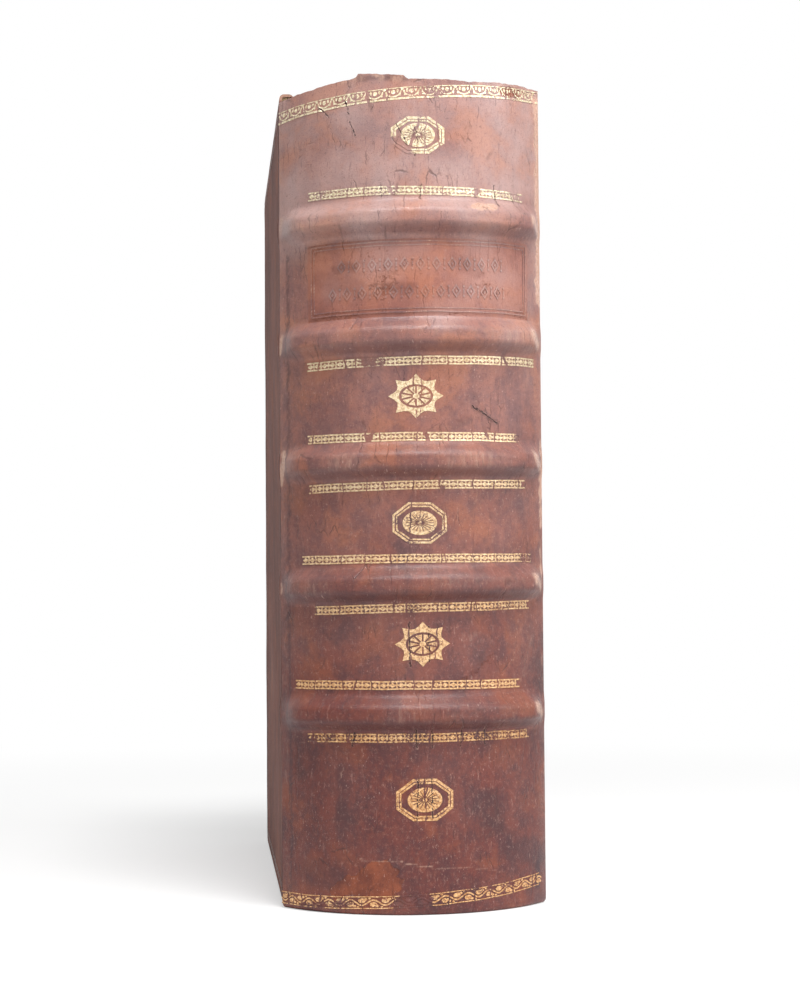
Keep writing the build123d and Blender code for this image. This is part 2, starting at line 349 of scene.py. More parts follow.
def spine_wear(s, z):
    """Colours for the attribute wear, with painted shade under the bands and a painted highlight on their
    crests, and numbers for tone, which is partly painted light from above.
    """
    a, b = s / MM, z / MM
    ragged = 0.8 * hills(a, b, 2.2, 7.5) + 0.5 * hills(a, b, 0.9, 8.5)
    broad = hills(a, b, 14, 9.5)
    wear = np.zeros((len(s), 4))
    wear[:, 3] = 1
    crest = band_share(s, z)
    # On the band crests the red is partly rubbing and partly a painted highlight.
    wear[:, 0] = 0.55 * step(crest, 0.55, 1.0) * (0.55 + 0.5 * broad)
    # Below each band the blue is painted shade, stronger on the lower bands; the band ends are rubbed pale.
    for height, tilt in zip(BANDS, BAND_TILTS):
        below = (height + s * tilt - z) / MM
        shaded = stroke(below + ragged * 0.4, below * 0, (2.6, 0, 5.6, 0), 1.0, 1.0)
        wear[:, 2] += (0.62 - 0.30 * height / COVER_TOP) * shaded * step(crest, 0, 0.2)
        end = height / MM + 43.5 * tilt
        wear[:, 0] += 0.75 * stroke(a, b + ragged, (40.5, end + 1.8, 46.5, end - 1.2), 2.0, 1.4)
        wear[:, 0] += 0.25 * stroke(a, b + ragged, (-47, end - 1.2, -43, end + 0.6), 1.8, 1.2)
    for channel, strokes in enumerate((RUBBED, SKINNED, DARKENED)):
        for s0, z0, s1, z1, radius, strength in strokes:
            soft = min(2.0, radius * 0.5)
            wild = ragged * (1 + 0.25 * radius)
            uneven = 0.6 * hills(a, b, 3.0, 10.5) * radius
            spot = strength * stroke(a + wild, b + uneven, (s0, z0, s1, z1), radius, soft)
            wear[:, channel] = np.maximum(wear[:, channel], spot)
    edge = step(b, 255.2, 258.2) * (0.4 + 0.5 * ragged)
    wear[:, 0] = np.maximum(wear[:, 0], edge)
    # Tone rises towards the head: partly faded skin, partly painted light from above.
    tone = np.clip(step(b, 20, 235) * 0.95 + 0.18 * broad, 0, 1)
    return np.clip(wear, 0, 1), tone


def mark(piece, wear, tone):
    """Writes the two attributes on a piece."""
    colours = piece.data.color_attributes.new("wear", "FLOAT_COLOR", "POINT")
    colours.data.foreach_set("color", wear.ravel())
    numbers = piece.data.attributes.new("tone", "FLOAT", "POINT")
    numbers.data.foreach_set("value", tone)


def write_uv(piece, u, v):
    """Gives each corner of a face its vertex's place on the flat skin, in metres."""
    layer = piece.data.uv_layers.active or piece.data.uv_layers.new(name="skin")
    layer.name = "skin"
    corner = np.empty(len(piece.data.loops), dtype=int)
    piece.data.loops.foreach_get("vertex_index", corner)
    layer.data.foreach_set("uv", np.stack([u[corner], v[corner]], 1).ravel())


# %% [markdown]
# ## The spine's calf
# On the bench the spine leather is one damp skin, drawn over the cords and rubbed down
# beside them with a band nipper. Here a flat grid plays the skin and the rule places its
# vertices, since no modifier knows the bands. At the tail the skin turns under, and at the
# head it is worn through: a short tab is all that is left of the cap.
# Solidify then gives the skin its thickness, inwards, which closes the shape.

# %% Lay the calf over the spine
CALF = 0.9 * MM
TAIL_TURN = 1.5 * MM
UNDER = 2.2 * MM
# The torn edge at the head: s and the height over the covers, in millimetres.
HEAD_EDGE = (
    (-50, -2.9), (-44, -2.0), (-34, -1.1), (-24, 0.5), (-19.3, 0.7), (-18.7, 2.2), (-3.4, 1.3),
    (-2.8, 0.1), (8, 0.3), (18, 0.1), (27, 1.0), (33, 1.4), (41, 1.9), (50, 2.0),
)


def head_edge(s):
    """Height of the torn edge at the head."""
    places, rises = zip(*HEAD_EDGE)
    torn = 0.25 * hills(s / MM, s * 0, 1.6, 3.5)
    return COVER_TOP + (np.interp(s / MM, places, rises) + torn) * MM


start()
bpy.ops.mesh.primitive_grid_add(x_subdivisions=130, y_subdivisions=350, size=1)
spine_calf = settle("spine_calf")
flat = read_points(spine_calf)
s = flat[:, 0] * 2 * S_EDGE
quarter = TAIL_TURN * math.pi / 2
along = (flat[:, 1] + 0.5) * (head_edge(s) - TAIL_TURN + quarter + UNDER) - UNDER
bend = np.clip(along, 0, quarter) / TAIL_TURN
z = TAIL_TURN * (1 - np.cos(bend)) + np.maximum(along - quarter, 0)
inward = TAIL_TURN * (np.sin(bend) - 1) + np.minimum(along, 0)
write_points(spine_calf, spine_point(s, z, skin_lift(s, z) * step(z, -1 * MM, 4 * MM) + inward))
mark(spine_calf, *spine_wear(s, z))
write_uv(spine_calf, s, along + TAIL_TURN - quarter)
modify(spine_calf, "SOLIDIFY", thickness=CALF, offset=-1)
smooth_shade(spine_calf, 60)
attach(spine_calf, "book_block")
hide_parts("spine_leather")
report(spine_calf)

# %% [markdown]
# ## The cover skins
# Each board is covered by the same skin: over the outside, round three edges and a finger's
# width in on the inside. A cube at the cover's place gives the outside and the turn-ins at
# once. Its three folded edges are beveled round, the face at the joint and the middle of the
# inner face are deleted, and Solidify turns what is left into leather.
# The board's long edges are cut into even steps first, so that the skin can be dented.

# %% Fold the calf over the boards
TURN_IN = 15 * MM
FOLD = 1.5 * MM
PARED = 0.45  # share of its thickness that the calf keeps where it is turned in
COVER_CUTS = (118, 168)
# How far the laced-in cords lift the skin beside the joint.
SLIP_LIFT = 0.55 * MM
SLIP_LENGTH = 17 * MM
# How far round a corner its wear is looked for.
CORNER = 14 * MM


def pick(piece, kind, test):
    """In edit mode, selects the edges whose two ends, or the faces whose centre, pass a test."""
    start()
    piece.select_set(True)
    bpy.context.view_layer.objects.active = piece
    mesh = piece.data
    for group in (mesh.vertices, mesh.edges, mesh.polygons):
        group.foreach_set("select", [False] * len(group))
    for item in getattr(mesh, kind):
        if kind == "edges":
            item.select = bool(test(*(mesh.vertices[end].co for end in item.vertices)))
        else:
            item.select = bool(test(item.center))
    bpy.ops.object.mode_set(mode="EDIT")
    bpy.ops.mesh.select_mode(type={"edges": "EDGE", "polygons": "FACE"}[kind])


def cut_evenly(piece, cuts_by_axis):
    """Cuts the long edges along x, y and z into even steps, which makes loops around."""
    for axis, cuts in enumerate(cuts_by_axis):
        if cuts:
            pick(piece, "edges", lambda a, b: abs(a[axis] - b[axis]) > 10 * MM)
            bpy.ops.mesh.subdivide(number_cuts=cuts)


def cover_skin(side, node, name):
    """The calf over one board; side is 1 for the front and -1 for the back."""
    low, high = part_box(node)
    start()
    bpy.ops.mesh.primitive_cube_add(size=1, location=(low + high) / 2, scale=high - low)
    piece = settle(name)
    joint, fore = low.y, high.y
    outside, inside = (high.x, low.x) if side > 0 else (low.x, high.x)
    pick(piece, "edges", lambda a, b: max(a.y, b.y) > joint + 1 * MM)
    bpy.ops.mesh.bevel(offset=FOLD, segments=4, profile=0.5, affect="EDGES")
    cut_evenly(piece, (0, *COVER_CUTS))
    pick(piece, "polygons", lambda centre: centre.y < joint + 0.001 * MM or (
        abs(centre.x - inside) < 0.1 * MM
        and centre.y < fore - TURN_IN
        and low.z + TURN_IN < centre.z < high.z - TURN_IN))
    bpy.ops.mesh.delete(type="FACE")
    bpy.ops.object.mode_set(mode="OBJECT")
    return piece, low, high, outside, inside


# %% [markdown]
# ## How a cover's skin lies and wears
# The skin is not quite flat: the slips of the cords lift it beside the joint, and it has
# low hills of its own. It is rubbed along its edges and most at its corners, and broad
# patches of it are paler or darker. Two rules give all of this from a place's y and z.

# %% Rules for the covers
def cover_lift(side, y, z, low, high):
    """How far the skin of a cover stands proud of the plain board's."""
    from_joint = y - low.y
    from_edge = np.minimum(np.minimum(high.y - y, high.z - z), z - low.z)
    lift = np.zeros(len(y))
    for height in BANDS:
        lift += SLIP_LIFT * (1 - step(np.abs(z - height), 1.5 * MM, 6 * MM))
    lift *= (1 - step(from_joint, SLIP_LENGTH * 0.6, SLIP_LENGTH)) * step(from_joint, -1 * MM, 3 * MM)
    lift += 0.16 * MM * hills(y, z, 22 * MM, 11.5 + side) * step(from_edge, 0, 6 * MM)
    lift += 0.05 * MM * hills(y, z, 6 * MM, 13.5 + side) * step(from_edge, 0, 3 * MM)
    return lift - 0.16 * MM


def cover_wear(side, y, z, low, high):
    """Colours for the attribute wear on a cover, how blunt each corner is, and the tone."""
    a, b = y / MM, z / MM
    from_joint = y - low.y
    from_edge = np.minimum(np.minimum(high.y - y, high.z - z), z - low.z)
    from_end = np.minimum(high.z - z, z - low.z)
    corner = np.hypot(np.minimum(high.y - y, CORNER), np.minimum(from_end, CORNER))
    blunt = 1 - step(corner, 1 * MM, 9 * MM)
    ragged = hills(a, b, 3.5, 21.5 + side) + 0.5 * hills(a, b, 1.3, 25.5 + side)
    patchy = hills(a, b, 46, 23.5 + side) + 0.6 * hills(a, b, 17, 27.5 + side)
    patchy += 0.4 * hills(a, b, 6, 29.5 + side)
    wear = np.zeros((len(y), 4))
    handled = 0.35 + 0.9 * step(hills(a, b, 19, 31.5 + side), -0.3, 0.5)
    wear[:, 0] = 0.6 * handled * (1 - step(from_edge, 0.4 * MM, 2.4 * MM)) * (0.7 + 0.7 * ragged)
    wear[:, 0] += 0.5 * (1 - step(from_joint, 0, 2.5 * MM)) * (0.6 + ragged)
    wear[:, 0] += 0.30 * step(patchy, 0.1, 0.9)
    wear[:, 1] = step(blunt + 0.35 * ragged, 0.55, 0.85)
    wear[:, 2] = 0.55 * step(-patchy, 0.05, 0.8)
    wear[:, 3] = 1
    return np.clip(wear, 0, 1), blunt, np.clip(0.36 + 0.22 * patchy, 0, 1)


# %% [markdown]
# ## Two covers from one recipe
# Both skins are made alike and then moved by the two rules. A vertex group tells Solidify
# where the calf is pared thin, which is the part that is turned in on the inside.

# %% Cover both boards
for side, name in ((1, "front"), (-1, "back")):
    skin, low, high, outside, inside = cover_skin(side, f"{name}_leather", f"{name}_calf")
    points = read_points(skin)
    x, y, z = points.T
    wear, blunt, tone = cover_wear(side, y, z, low, high)
    outer = step(np.abs(x - inside), 1.5 * MM, 3.5 * MM)
    write_uv(skin, y, z + (outside - x) * 0.7)
    mark(skin, wear, tone)
    points[:, 0] += side * cover_lift(side, y, z, low, high) * outer
    points[:, 1] -= 0.7 * MM * blunt
    points[:, 2] -= np.sign(z - (low.z + high.z) / 2) * 0.6 * MM * blunt
    thick = skin.vertex_groups.new(name="thick")
    for index, share in enumerate(np.where(np.abs(x - inside) < 0.7 * MM, PARED, 1.0)):
        thick.add([index], share, "REPLACE")
    write_points(skin, points)
    modify(skin, "SOLIDIFY", thickness=CALF, offset=-1, vertex_group="thick")
    smooth_shade(skin, 50)
    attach(skin, f"{name}_cover")
    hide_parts(f"{name}_leather")
    report(skin)

# %% [markdown]
# ## The joints
# On the real book the skin runs on from the spine to the board and folds like a strap, and
# the endpaper does the same on the inside. The skins here end at the joint, where the cover
# turns. So a narrow strip of calf lies just under both of them, and a folded strip of paper
# lines the gap between the leaves and the board. Both are grids bent to a line of points.
# One half follows the leaves and the other follows the cover, and the fold turns between.

# %% Join the covers to the spine
JOINT_GAP = 0.15 * MM
STRAP_DEPTH, STRAP_REACH = 0.45 * MM, 2.6 * MM
PAPER_DEPTH = 36.3 * MM
FOLD_DEPTH = 40.9 * MM
PAPER_AWAY = 0.07 * MM


def fold_strip(name, side, line, low, high, wall):
    """An upright strip through a line of x and y points, mirrored for the back cover."""
    start()
    bpy.ops.mesh.primitive_grid_add(x_subdivisions=(len(line) - 1) * 2, y_subdivisions=90, size=1)
    piece = settle(name)
    flat = read_points(piece)
    along = (flat[:, 0] + 0.5) * (len(line) - 1)
    x, y = (np.interp(along, range(len(line)), values) for values in zip(*line))
    z = low + (flat[:, 1] + 0.5) * (high - low)
    write_points(piece, np.stack([side * x, y, z], 1))
    clean = np.tile((0.0, 0.0, 0.0, 1.0), (len(z), 1))
    mark(piece, clean, np.full(len(z), 0.35))
    write_uv(piece, y, z)
    modify(piece, "SOLIDIFY", thickness=wall, offset=0)
    smooth_shade(piece, 60)
    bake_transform(piece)
    report(piece)
    return piece


strap_line = []
for back_by in (STRAP_REACH, STRAP_REACH / 2, 0.4 * MM):
    turn = (S_EDGE - back_by) / R_FACE
    radius = R_FACE - STRAP_DEPTH
    strap_line.append((radius * math.sin(turn), AXIS_Y - radius * math.cos(turn)))
for forward in (0.08 * MM, STRAP_REACH / 2, STRAP_REACH):
    strap_line.append((HALF - STRAP_DEPTH, JOINT_Y + JOINT_GAP + forward))
paper_line = [
    (PAPER_DEPTH, JOINT_Y - PAPER_AWAY), (FOLD_DEPTH, JOINT_Y - PAPER_AWAY),
    (FOLD_DEPTH + PAPER_AWAY, JOINT_Y), (FOLD_DEPTH, JOINT_Y + PAPER_AWAY),
    (PAPER_DEPTH + 0.6 * MM, JOINT_Y + PAPER_AWAY),
]
joint_straps, hinge_papers = [], []
for side, name in ((1, "front"), (-1, "back")):
    strap = fold_strip(f"{name}_joint_calf", side, strap_line, 3 * MM, COVER_TOP - 4 * MM, 0.25 * MM)
    joint_straps.append(strap)
    paper = fold_strip(f"{name}_hinge_paper", side, paper_line, 3.6 * MM, COVER_TOP - 3.6 * MM, 0.08 * MM)
    hinge_papers.append(paper)

# %% [markdown]
# ## The leaves
# Hundreds of leaves, folded and sewn in gatherings, make a block that is round at the spine
# and hollow at the fore edge. A cube is cut into steps across its thickness, and each step
# is drawn out to the two curves. Only the backs of the leaves fan out over the boards, as
# they do after hammering, so the first row stays wide and all others are narrowed. Every
# gathering stands a little proud or shy of its neighbours, which gives the fine uneven ribs
# that real edges have.

# %% Draw the leaves
leaves_low, leaves_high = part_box("text_block")
R_LEAVES = AXIS_Y - leaves_low.y
HOLLOW_DEPTH = 16.4 * MM
LEAF_CUTS = (230, 22, 30)
GATHERING = 2.6 * MM
SHOULDER_Y = JOINT_Y - JOINT_GAP
half_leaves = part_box("front_flyleaf")[0].x - 0.05 * MM
narrow = half_leaves / leaves_high.x
r_hollow = (half_leaves**2 + HOLLOW_DEPTH**2) / (2 * HOLLOW_DEPTH)

start()
bpy.ops.mesh.primitive_cube_add(size=1, location=(leaves_low + leaves_high) / 2,
                                scale=leaves_high - leaves_low)
leaves = settle("leaves")
cut_evenly(leaves, LEAF_CUTS)
bpy.ops.object.mode_set(mode="OBJECT")
points = read_points(leaves)
x, y, z = points.T
first_row = 1 / (LEAF_CUTS[1] + 1)
share = ((y - leaves_low.y) / (leaves_high.y - leaves_low.y) - first_row) / (1 - first_row)
at_back = share < -0.5 * first_row
share = np.maximum(share, 0)
back = AXIS_Y - np.sqrt(R_LEAVES**2 - x**2)
x = np.where(at_back, x, x * narrow)
hollow = leaves_high.y - HOLLOW_DEPTH + r_hollow - np.sqrt(r_hollow**2 - x**2)
seam = np.abs((x / GATHERING) % 1 - 0.5) * 2
gathering = np.floor(x / GATHERING)
proud = 0.45 * hills(gathering * 1.7, gathering * 0, 1, 31.5)
leaf = 0.22 * hills(x / MM, x * 0, 0.45, 33.5)
uneven = (proud + leaf - 0.45 * step(seam, 0.8, 1.0) - 0.5) * MM * 0.35
uneven += 0.25 * MM * (hills(x / MM, z / MM, 24, 35.5) - 0.5)
y_new = np.where(at_back, back, SHOULDER_Y + share * (hollow - SHOULDER_Y) + share * uneven)
top = step(z, leaves_low.z, leaves_high.z) - 0.5
z_new = z + 2 * top * (uneven + 0.2 * MM * (hills(x / MM, y / MM, 18, 37.5) - 0.5))
write_points(leaves, np.stack([x, y_new, z_new], 1))
smooth_shade(leaves, 35)
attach(leaves, "book_block")
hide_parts("text_block")
report(leaves)

# %% [markdown]
# ## The endbands
# At head and tail a strip of cord is sewn to the backs of the leaves with coloured thread,
# wound side by side. A cylinder laid along the round gives the core, and its sides swell and
# narrow once for each turn of the thread. One is made, and the other is a copy.

# %% Wind the endbands
band_low, band_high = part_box("head_endband")
ENDBAND_ANGLE = math.radians(49)
TURNS = 96
STEPS_PER_TURN = 6
end_radius = AXIS_Y - (band_low.y + 1.5 * MM)
start()
bpy.ops.mesh.primitive_cylinder_add(vertices=14, radius=1, depth=2, end_fill_type="TRIFAN")
head_band = settle("head_endband_thread")
pick(head_band, "edges", lambda a, b: abs(a.z - b.z) > 1)
bpy.ops.mesh.subdivide(number_cuts=TURNS * STEPS_PER_TURN - 1)
bpy.ops.object.mode_set(mode="OBJECT")
points = read_points(head_band)
turns = (points[:, 2] + 1) / 2 * TURNS
round_off = np.sqrt(np.clip(1 - np.abs(points[:, 2]) ** 40, 0.05, 1))
swell = (0.86 + 0.14 * np.abs(np.sin(math.pi * turns))) * round_off
angle = points[:, 2] * ENDBAND_ANGLE
radial = end_radius + points[:, 0] * 1.35 * MM * swell
height = (band_low.z + band_high.z) / 2 + points[:, 1] * 1.15 * MM * swell
write_points(head_band, np.stack([radial * np.sin(angle), AXIS_Y - radial * np.cos(angle), height], 1))
threads = head_band.data.attributes.new("thread", "FLOAT", "POINT")
threads.data.foreach_set("value", np.floor(turns + 0.001))
start()
head_band.select_set(True)
bpy.context.view_layer.objects.active = head_band
bpy.ops.object.mode_set(mode="EDIT")
bpy.ops.mesh.select_all(action="SELECT")
bpy.ops.mesh.normals_make_consistent(inside=False)
smooth_shade(head_band, 80)
tail_band = head_band.copy()
tail_band.data = head_band.data.copy()
tail_band.name = "tail_endband_thread"
bpy.context.collection.objects.link(tail_band)
points = read_points(tail_band)
points[:, 2] -= band_low.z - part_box("tail_endband")[0].z
write_points(tail_band, points)
for piece, node in ((head_band, "head_endband"), (tail_band, "tail_endband")):
    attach(piece, "book_block")
    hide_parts(node)
    report(piece)

# %% [markdown]
# ## The title label
# The title field is a thin label of lighter calf, pared at its edges until they vanish into
# the skin below. It is a small grid, laid on by the spine's own rule with a lift that falls
# off at its rim. Its frame and its rows of blind tooling come with the other tools.

# %% Paste the label
LABEL_LIFT = 0.28 * MM
label_low, label_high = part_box("title_label")
LABEL_LEFT, LABEL_RIGHT = -36.6 * MM, 41.4 * MM
LABEL_TILT = math.tan(math.radians(1.2))
label_middle = (label_low.z + label_high.z) / 2
label_half = (label_high.z - label_low.z) / 2
start()
bpy.ops.mesh.primitive_grid_add(x_subdivisions=156, y_subdivisions=50, size=1)
label = settle("label_calf")
flat = read_points(label)
s = LABEL_LEFT + (flat[:, 0] + 0.5) * (LABEL_RIGHT - LABEL_LEFT)
z = label_middle + flat[:, 1] * 2 * label_half + LABEL_TILT * s
rim = np.minimum(np.minimum(s - LABEL_LEFT, LABEL_RIGHT - s), label_half * (1 - 2 * np.abs(flat[:, 1])))
lift = LABEL_LIFT * step(rim, -0.2 * MM, 1.4 * MM) * (0.8 + 0.2 * hills(s, z, 5 * MM, 41.5))
write_points(label, spine_point(s, z, skin_lift(s, z) + lift))
wear, tone = spine_wear(s, z)
wear[:, 1] = np.maximum(wear[:, 1], 0.32 + 0.3 * hills(s, z, 12 * MM, 43.5))
mark(label, wear, tone)
write_uv(label, s, z)
modify(label, "SOLIDIFY", thickness=0.35 * MM, offset=-1)
smooth_shade(label, 60)
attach(label, "book_block")
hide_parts("title_label")
report(label)

# %% [markdown]
# ## Gold tools, cut flat
# A finisher presses heated brass tools through gold leaf. Small tools and rolls like these
# are easiest to draw flat, facing us, and to bend afterwards. Each shape begins as a circle
# or a strip; insetting its faces and deleting the inner or the outer part gives rings and
# separate petals, and an Array repeats one unit along a roll.

# %% Flat shapes for tooling
LEAF = 0.12 * MM
STEP_ALONG = 1.0 * MM
FACING = math.pi / 2


def oval(x, z, width, height, sides=16, turn=0.0, fill="NGON"):
    """A flat filled shape whose corners lie on an oval; turn is in degrees."""
    start()
    turned = (FACING, math.radians(turn), 0)
    bpy.ops.mesh.primitive_circle_add(vertices=sides, radius=0.5, fill_type=fill, rotation=turned)
    piece = settle("oval")
    piece.scale = (width, 1, height)
    piece.location = (x, 0, z)
    return settle("oval")


def strip(x0, x1, z, height):
    """A flat strip from x0 to x1, cut often enough to bend."""
    start()
    cuts = max(1, round((x1 - x0) / STEP_ALONG))
    bpy.ops.mesh.primitive_grid_add(x_subdivisions=cuts, y_subdivisions=1, size=1, rotation=(FACING, 0, 0))
    piece = settle("strip")
    piece.scale = (x1 - x0, 1, height)
    piece.location = ((x0 + x1) / 2, 0, z)
    return settle("strip")


def edit_all(piece):
    """Opens a piece in edit mode with everything selected."""
    pick(piece, "polygons", lambda centre: True)


def hollow_out(piece, wall):
    """Leaves a ring of a filled shape, as wide as wall."""
    edit_all(piece)
    bpy.ops.mesh.inset(thickness=wall)
    bpy.ops.mesh.delete(type="FACE")
    return piece


def part_petals(piece, gap):
    """Draws the faces of a fan apart into petals."""
    edit_all(piece)
    bpy.ops.mesh.inset(thickness=gap, use_individual=True)
    bpy.ops.mesh.select_all(action="INVERT")
    bpy.ops.mesh.delete(type="FACE")
    return piece


def divide(piece, cuts=1):
    """Cuts a flat shape finely enough to follow the round."""
    edit_all(piece)
    bpy.ops.mesh.quads_convert_to_tris()
    bpy.ops.mesh.subdivide(number_cuts=cuts)
    return piece


def repeat(piece, pitch, count):
    """A row of copies, a pitch apart."""
    offset = {"use_relative_offset": False, "use_constant_offset": True}
    modify(piece, "ARRAY", count=count, constant_offset_displace=(pitch, 0, 0), **offset)
    return piece


def copy_of(piece):
    """A copy with its own mesh."""
    twin = piece.copy()
    twin.data = piece.data.copy()
    bpy.context.collection.objects.link(twin)
    return twin


# %% [markdown]
# ## Laying the gold
# A flat piece gets the thickness of its leaf first. Then each vertex's x becomes its
# distance round the spine, and the spine's rule puts it on the skin. The hand that rolled
# the lines was not quite steady, so each line has a slope, a slight curve and a wobble.
# Gold is lost where the book was handled: an attribute named worn tells where.

# %% Lay gold on the spine
GOLD_LIFT = 0.05 * MM
# Where gold is lost: start s and z, end s and z, radius, all in millimetres, and how much.
LOST_GOLD = (
    (0, 254, 9, 255, 3.0, 0.24), (-5.4, 3.5, 1.0, 4.5, 2.4, 0.60), (-16.5, 170, -11.8, 170, 2.0, 0.38),
    (36, 147, 40, 147, 2.5, 0.34), (38, 109.5, 44, 109.5, 2.2, 0.32), (-6.8, 237.8, -3.2, 235.2, 2.0, 0.50),
    (-40, 1.5, -22, 3.6, 1.2, 0.34), (14, 7.5, 30, 8.0, 1.0, 0.26), (30, 223.5, 41, 223.7, 1.6, 0.26),
    (-35, 224, -28, 223.5, 1.4, 0.24), (-36, 53, -30, 53.2, 1.5, 0.30), (34, 255.5, 41, 257, 1.6, 0.24),
)


def lay(piece, name, s0, z0, slope=0.0, curve=0.0, loss=0.0, lift=GOLD_LIFT):
    """Bends a flat piece onto the spine: z = z0 + slope * s + curve * s * s."""
    modify(piece, "SOLIDIFY", thickness=LEAF, offset=0)
    flat = read_points(piece)
    s = flat[:, 0] + s0
    wobble = 0.14 * MM * hills(s, s * 0, 8 * MM, z0 * 900)
    z = flat[:, 2] + z0 + slope * s + curve * s * s + wobble
    write_points(piece, spine_point(s, z, skin_lift(s, z) + lift - flat[:, 1]))
    worn = np.full(len(s), float(loss))
    for s1, z1, s2, z2, radius, strength in LOST_GOLD:
        worn = np.maximum(worn, strength * stroke(s / MM, z / MM, (s1, z1, s2, z2), radius, radius * 0.5))
    numbers = piece.data.attributes.new("worn", "FLOAT", "POINT")
    numbers.data.foreach_set("value", worn)
    mark(piece, *spine_wear(s, z))
    write_uv(piece, s, z)
    piece.name = piece.data.name = name
    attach(piece, "book_block")
    report(piece)
    return piece


# %% [markdown]
# ## The lines beside the bands
# Eight narrow lines follow the bands: two thin rules with a row of lozenges and beads
# between them. One cell is drawn, copied for each line and repeated to the line's length.

# %% Roll the narrow lines
CELL = 2.7 * MM
RULE = 0.46 * MM
LINE_HALF = 1.12 * MM
# Each row: height at the middle, slope in degrees, start and end s, and gold lost.
LINES = (
    (223.1, 0.4, -34.8, 40.6, 0.16), (170.1, 1.6, -35.5, 46.0, 0.05), (146.6, 0.4, -35.5, 38.0, 0.05),
    (131.6, 1.2, -35.0, 40.0, 0.08), (109.0, 0.3, -38.0, 43.0, 0.12), (93.8, 1.1, -33.0, 41.5, 0.14),
    (70.1, -0.1, -41.0, 36.5, 0.02), (54.0, 0.3, -36.0, 41.0, 0.20),
)
cell = join("cell", [
    oval(0, 0, 2.25 * MM, 1.6 * MM, 4), oval(CELL / 2, 0, 1.0 * MM, 0.95 * MM, 8),
    strip(CELL / 2 - 0.25 * MM, CELL / 2 + 0.25 * MM, 0.75 * MM, 0.5 * MM),
    strip(CELL / 2 - 0.25 * MM, CELL / 2 + 0.25 * MM, -0.75 * MM, 0.5 * MM),
])
gilt_pieces = []
for number, (height, degrees, s0, s1, loss) in enumerate(LINES, 1):
    length = (s1 - s0) * MM
    row = repeat(copy_of(cell), CELL, int(length / CELL))
    rules = [strip(-CELL / 2, length - CELL / 2, side * LINE_HALF, RULE) for side in (-1, 1)]
    line = join("line", [row, *rules])
    slope = math.tan(math.radians(degrees))
    gilt_pieces.append(lay(line, f"gilt_line_{number}", s0 * MM, height * MM, slope, 0, loss))
bpy.data.objects.remove(cell)

# %% [markdown]
# ## The rolls at head and tail
# A wider roll runs round the head: a solid rule with swags hanging over it, each with a bead
# and two leaves. The tail has a running stem with leaves on both sides. Each unit is drawn
# once. A swag is the lower half of a ring, so the upper half of its faces is deleted.

# %% Roll the head and tail
SWAG = 5.7 * MM


def swag_unit():
    """One swag of the head roll."""
    ring = hollow_out(oval(0, 0.9 * MM, 5.2 * MM, 4.2 * MM, 20), 0.42 * MM)
    pick(ring, "polygons", lambda centre: centre.z > 1.1 * MM)
    bpy.ops.mesh.delete(type="FACE")
    parts = [ring, oval(0, 0.55 * MM, 1.3 * MM, 1.5 * MM, 10)]
    parts.append(oval(SWAG / 2, 1.35 * MM, 1.0 * MM, 1.0 * MM, 8))
    for side in (-1, 1):
        parts.append(oval(side * 1.35 * MM, 0.85 * MM, 0.75 * MM, 1.3 * MM, 6, 20 * side))
        parts.append(oval(SWAG / 2 + side * 0.75 * MM, -0.35 * MM, 0.6 * MM, 1.0 * MM, 6))
    return join("swag", parts)


def stem_unit(pitch):
    """One wave of the tail roll's stem, with its leaves."""
    stem = strip(-pitch / 2, pitch / 2, 0, 0.5 * MM)
    points = read_points(stem)
    points[:, 2] += 0.85 * MM * np.sin(points[:, 0] / pitch * 2 * math.pi)
    write_points(stem, points)
    parts = [stem]
    for side in (-1, 1):
        middle = side * pitch / 4
        parts.append(oval(middle, side * -0.55 * MM, 2.5 * MM, 1.5 * MM, 8, 0))
        parts.append(oval(middle + 1.3 * MM, side * -1.0 * MM, 1.1 * MM, 0.8 * MM, 6, 0))
        parts.append(oval(middle - 1.2 * MM, side * 1.25 * MM, 0.9 * MM, 0.6 * MM, 6, 0))
    return join("stem", parts)


head_row = repeat(swag_unit(), SWAG, 17)
head_rules = []
for height, width in ((-1.65, 0.6), (1.75, 0.28)):
    head_rules.append(strip(-SWAG / 2, 16.9 * SWAG, height * MM, width * MM))
head_roll = join("head_roll", [head_row, *head_rules])
gilt_pieces.append(lay(head_roll, "gilt_head_roll", -47 * MM, 253.8 * MM, 0.078, 0, 0.10))
STEM = 7.4 * MM
tail_row = repeat(stem_unit(STEM), STEM, 13)
tail_rules = [strip(-STEM / 2, 12.3 * STEM, side * 1.75 * MM, 0.3 * MM) for side in (-1, 1)]
tail_roll = join("tail_roll", [tail_row, *tail_rules])
gilt_pieces.append(lay(tail_roll, "gilt_tail_roll", -46.4 * MM, 4.6 * MM, 0.055, 0.6, 0.12))

# %% [markdown]
# ## The ornaments
# Two hand tools alternate down the compartments. One is an octagon of double lines round an
# oval daisy; the other is a star with eight points round an oval flower. A fan of triangles
# parted into petals gives the flowers. The star is bridged between an outline and an oval.

# %% Stamp the ornaments
STAR_SIZE = np.array([17.2, 1, 13.8]) * MM
STAR_HOLE = np.array([10.6, 1, 7.3]) * MM
# How far the star's outline reaches at a point, beside it, in the notch and beside that.
STAR_REACH = np.array([1.0, 0.80, 0.735, 0.80])


def daisy(width, height, petals, gap, heart):
    """An oval of petals round a bead."""
    fan = divide(part_petals(oval(0, 0, width, height, petals, fill="TRIFAN"), gap), 2)
    return [fan, oval(0, 0, heart, heart * 0.8, 10)]


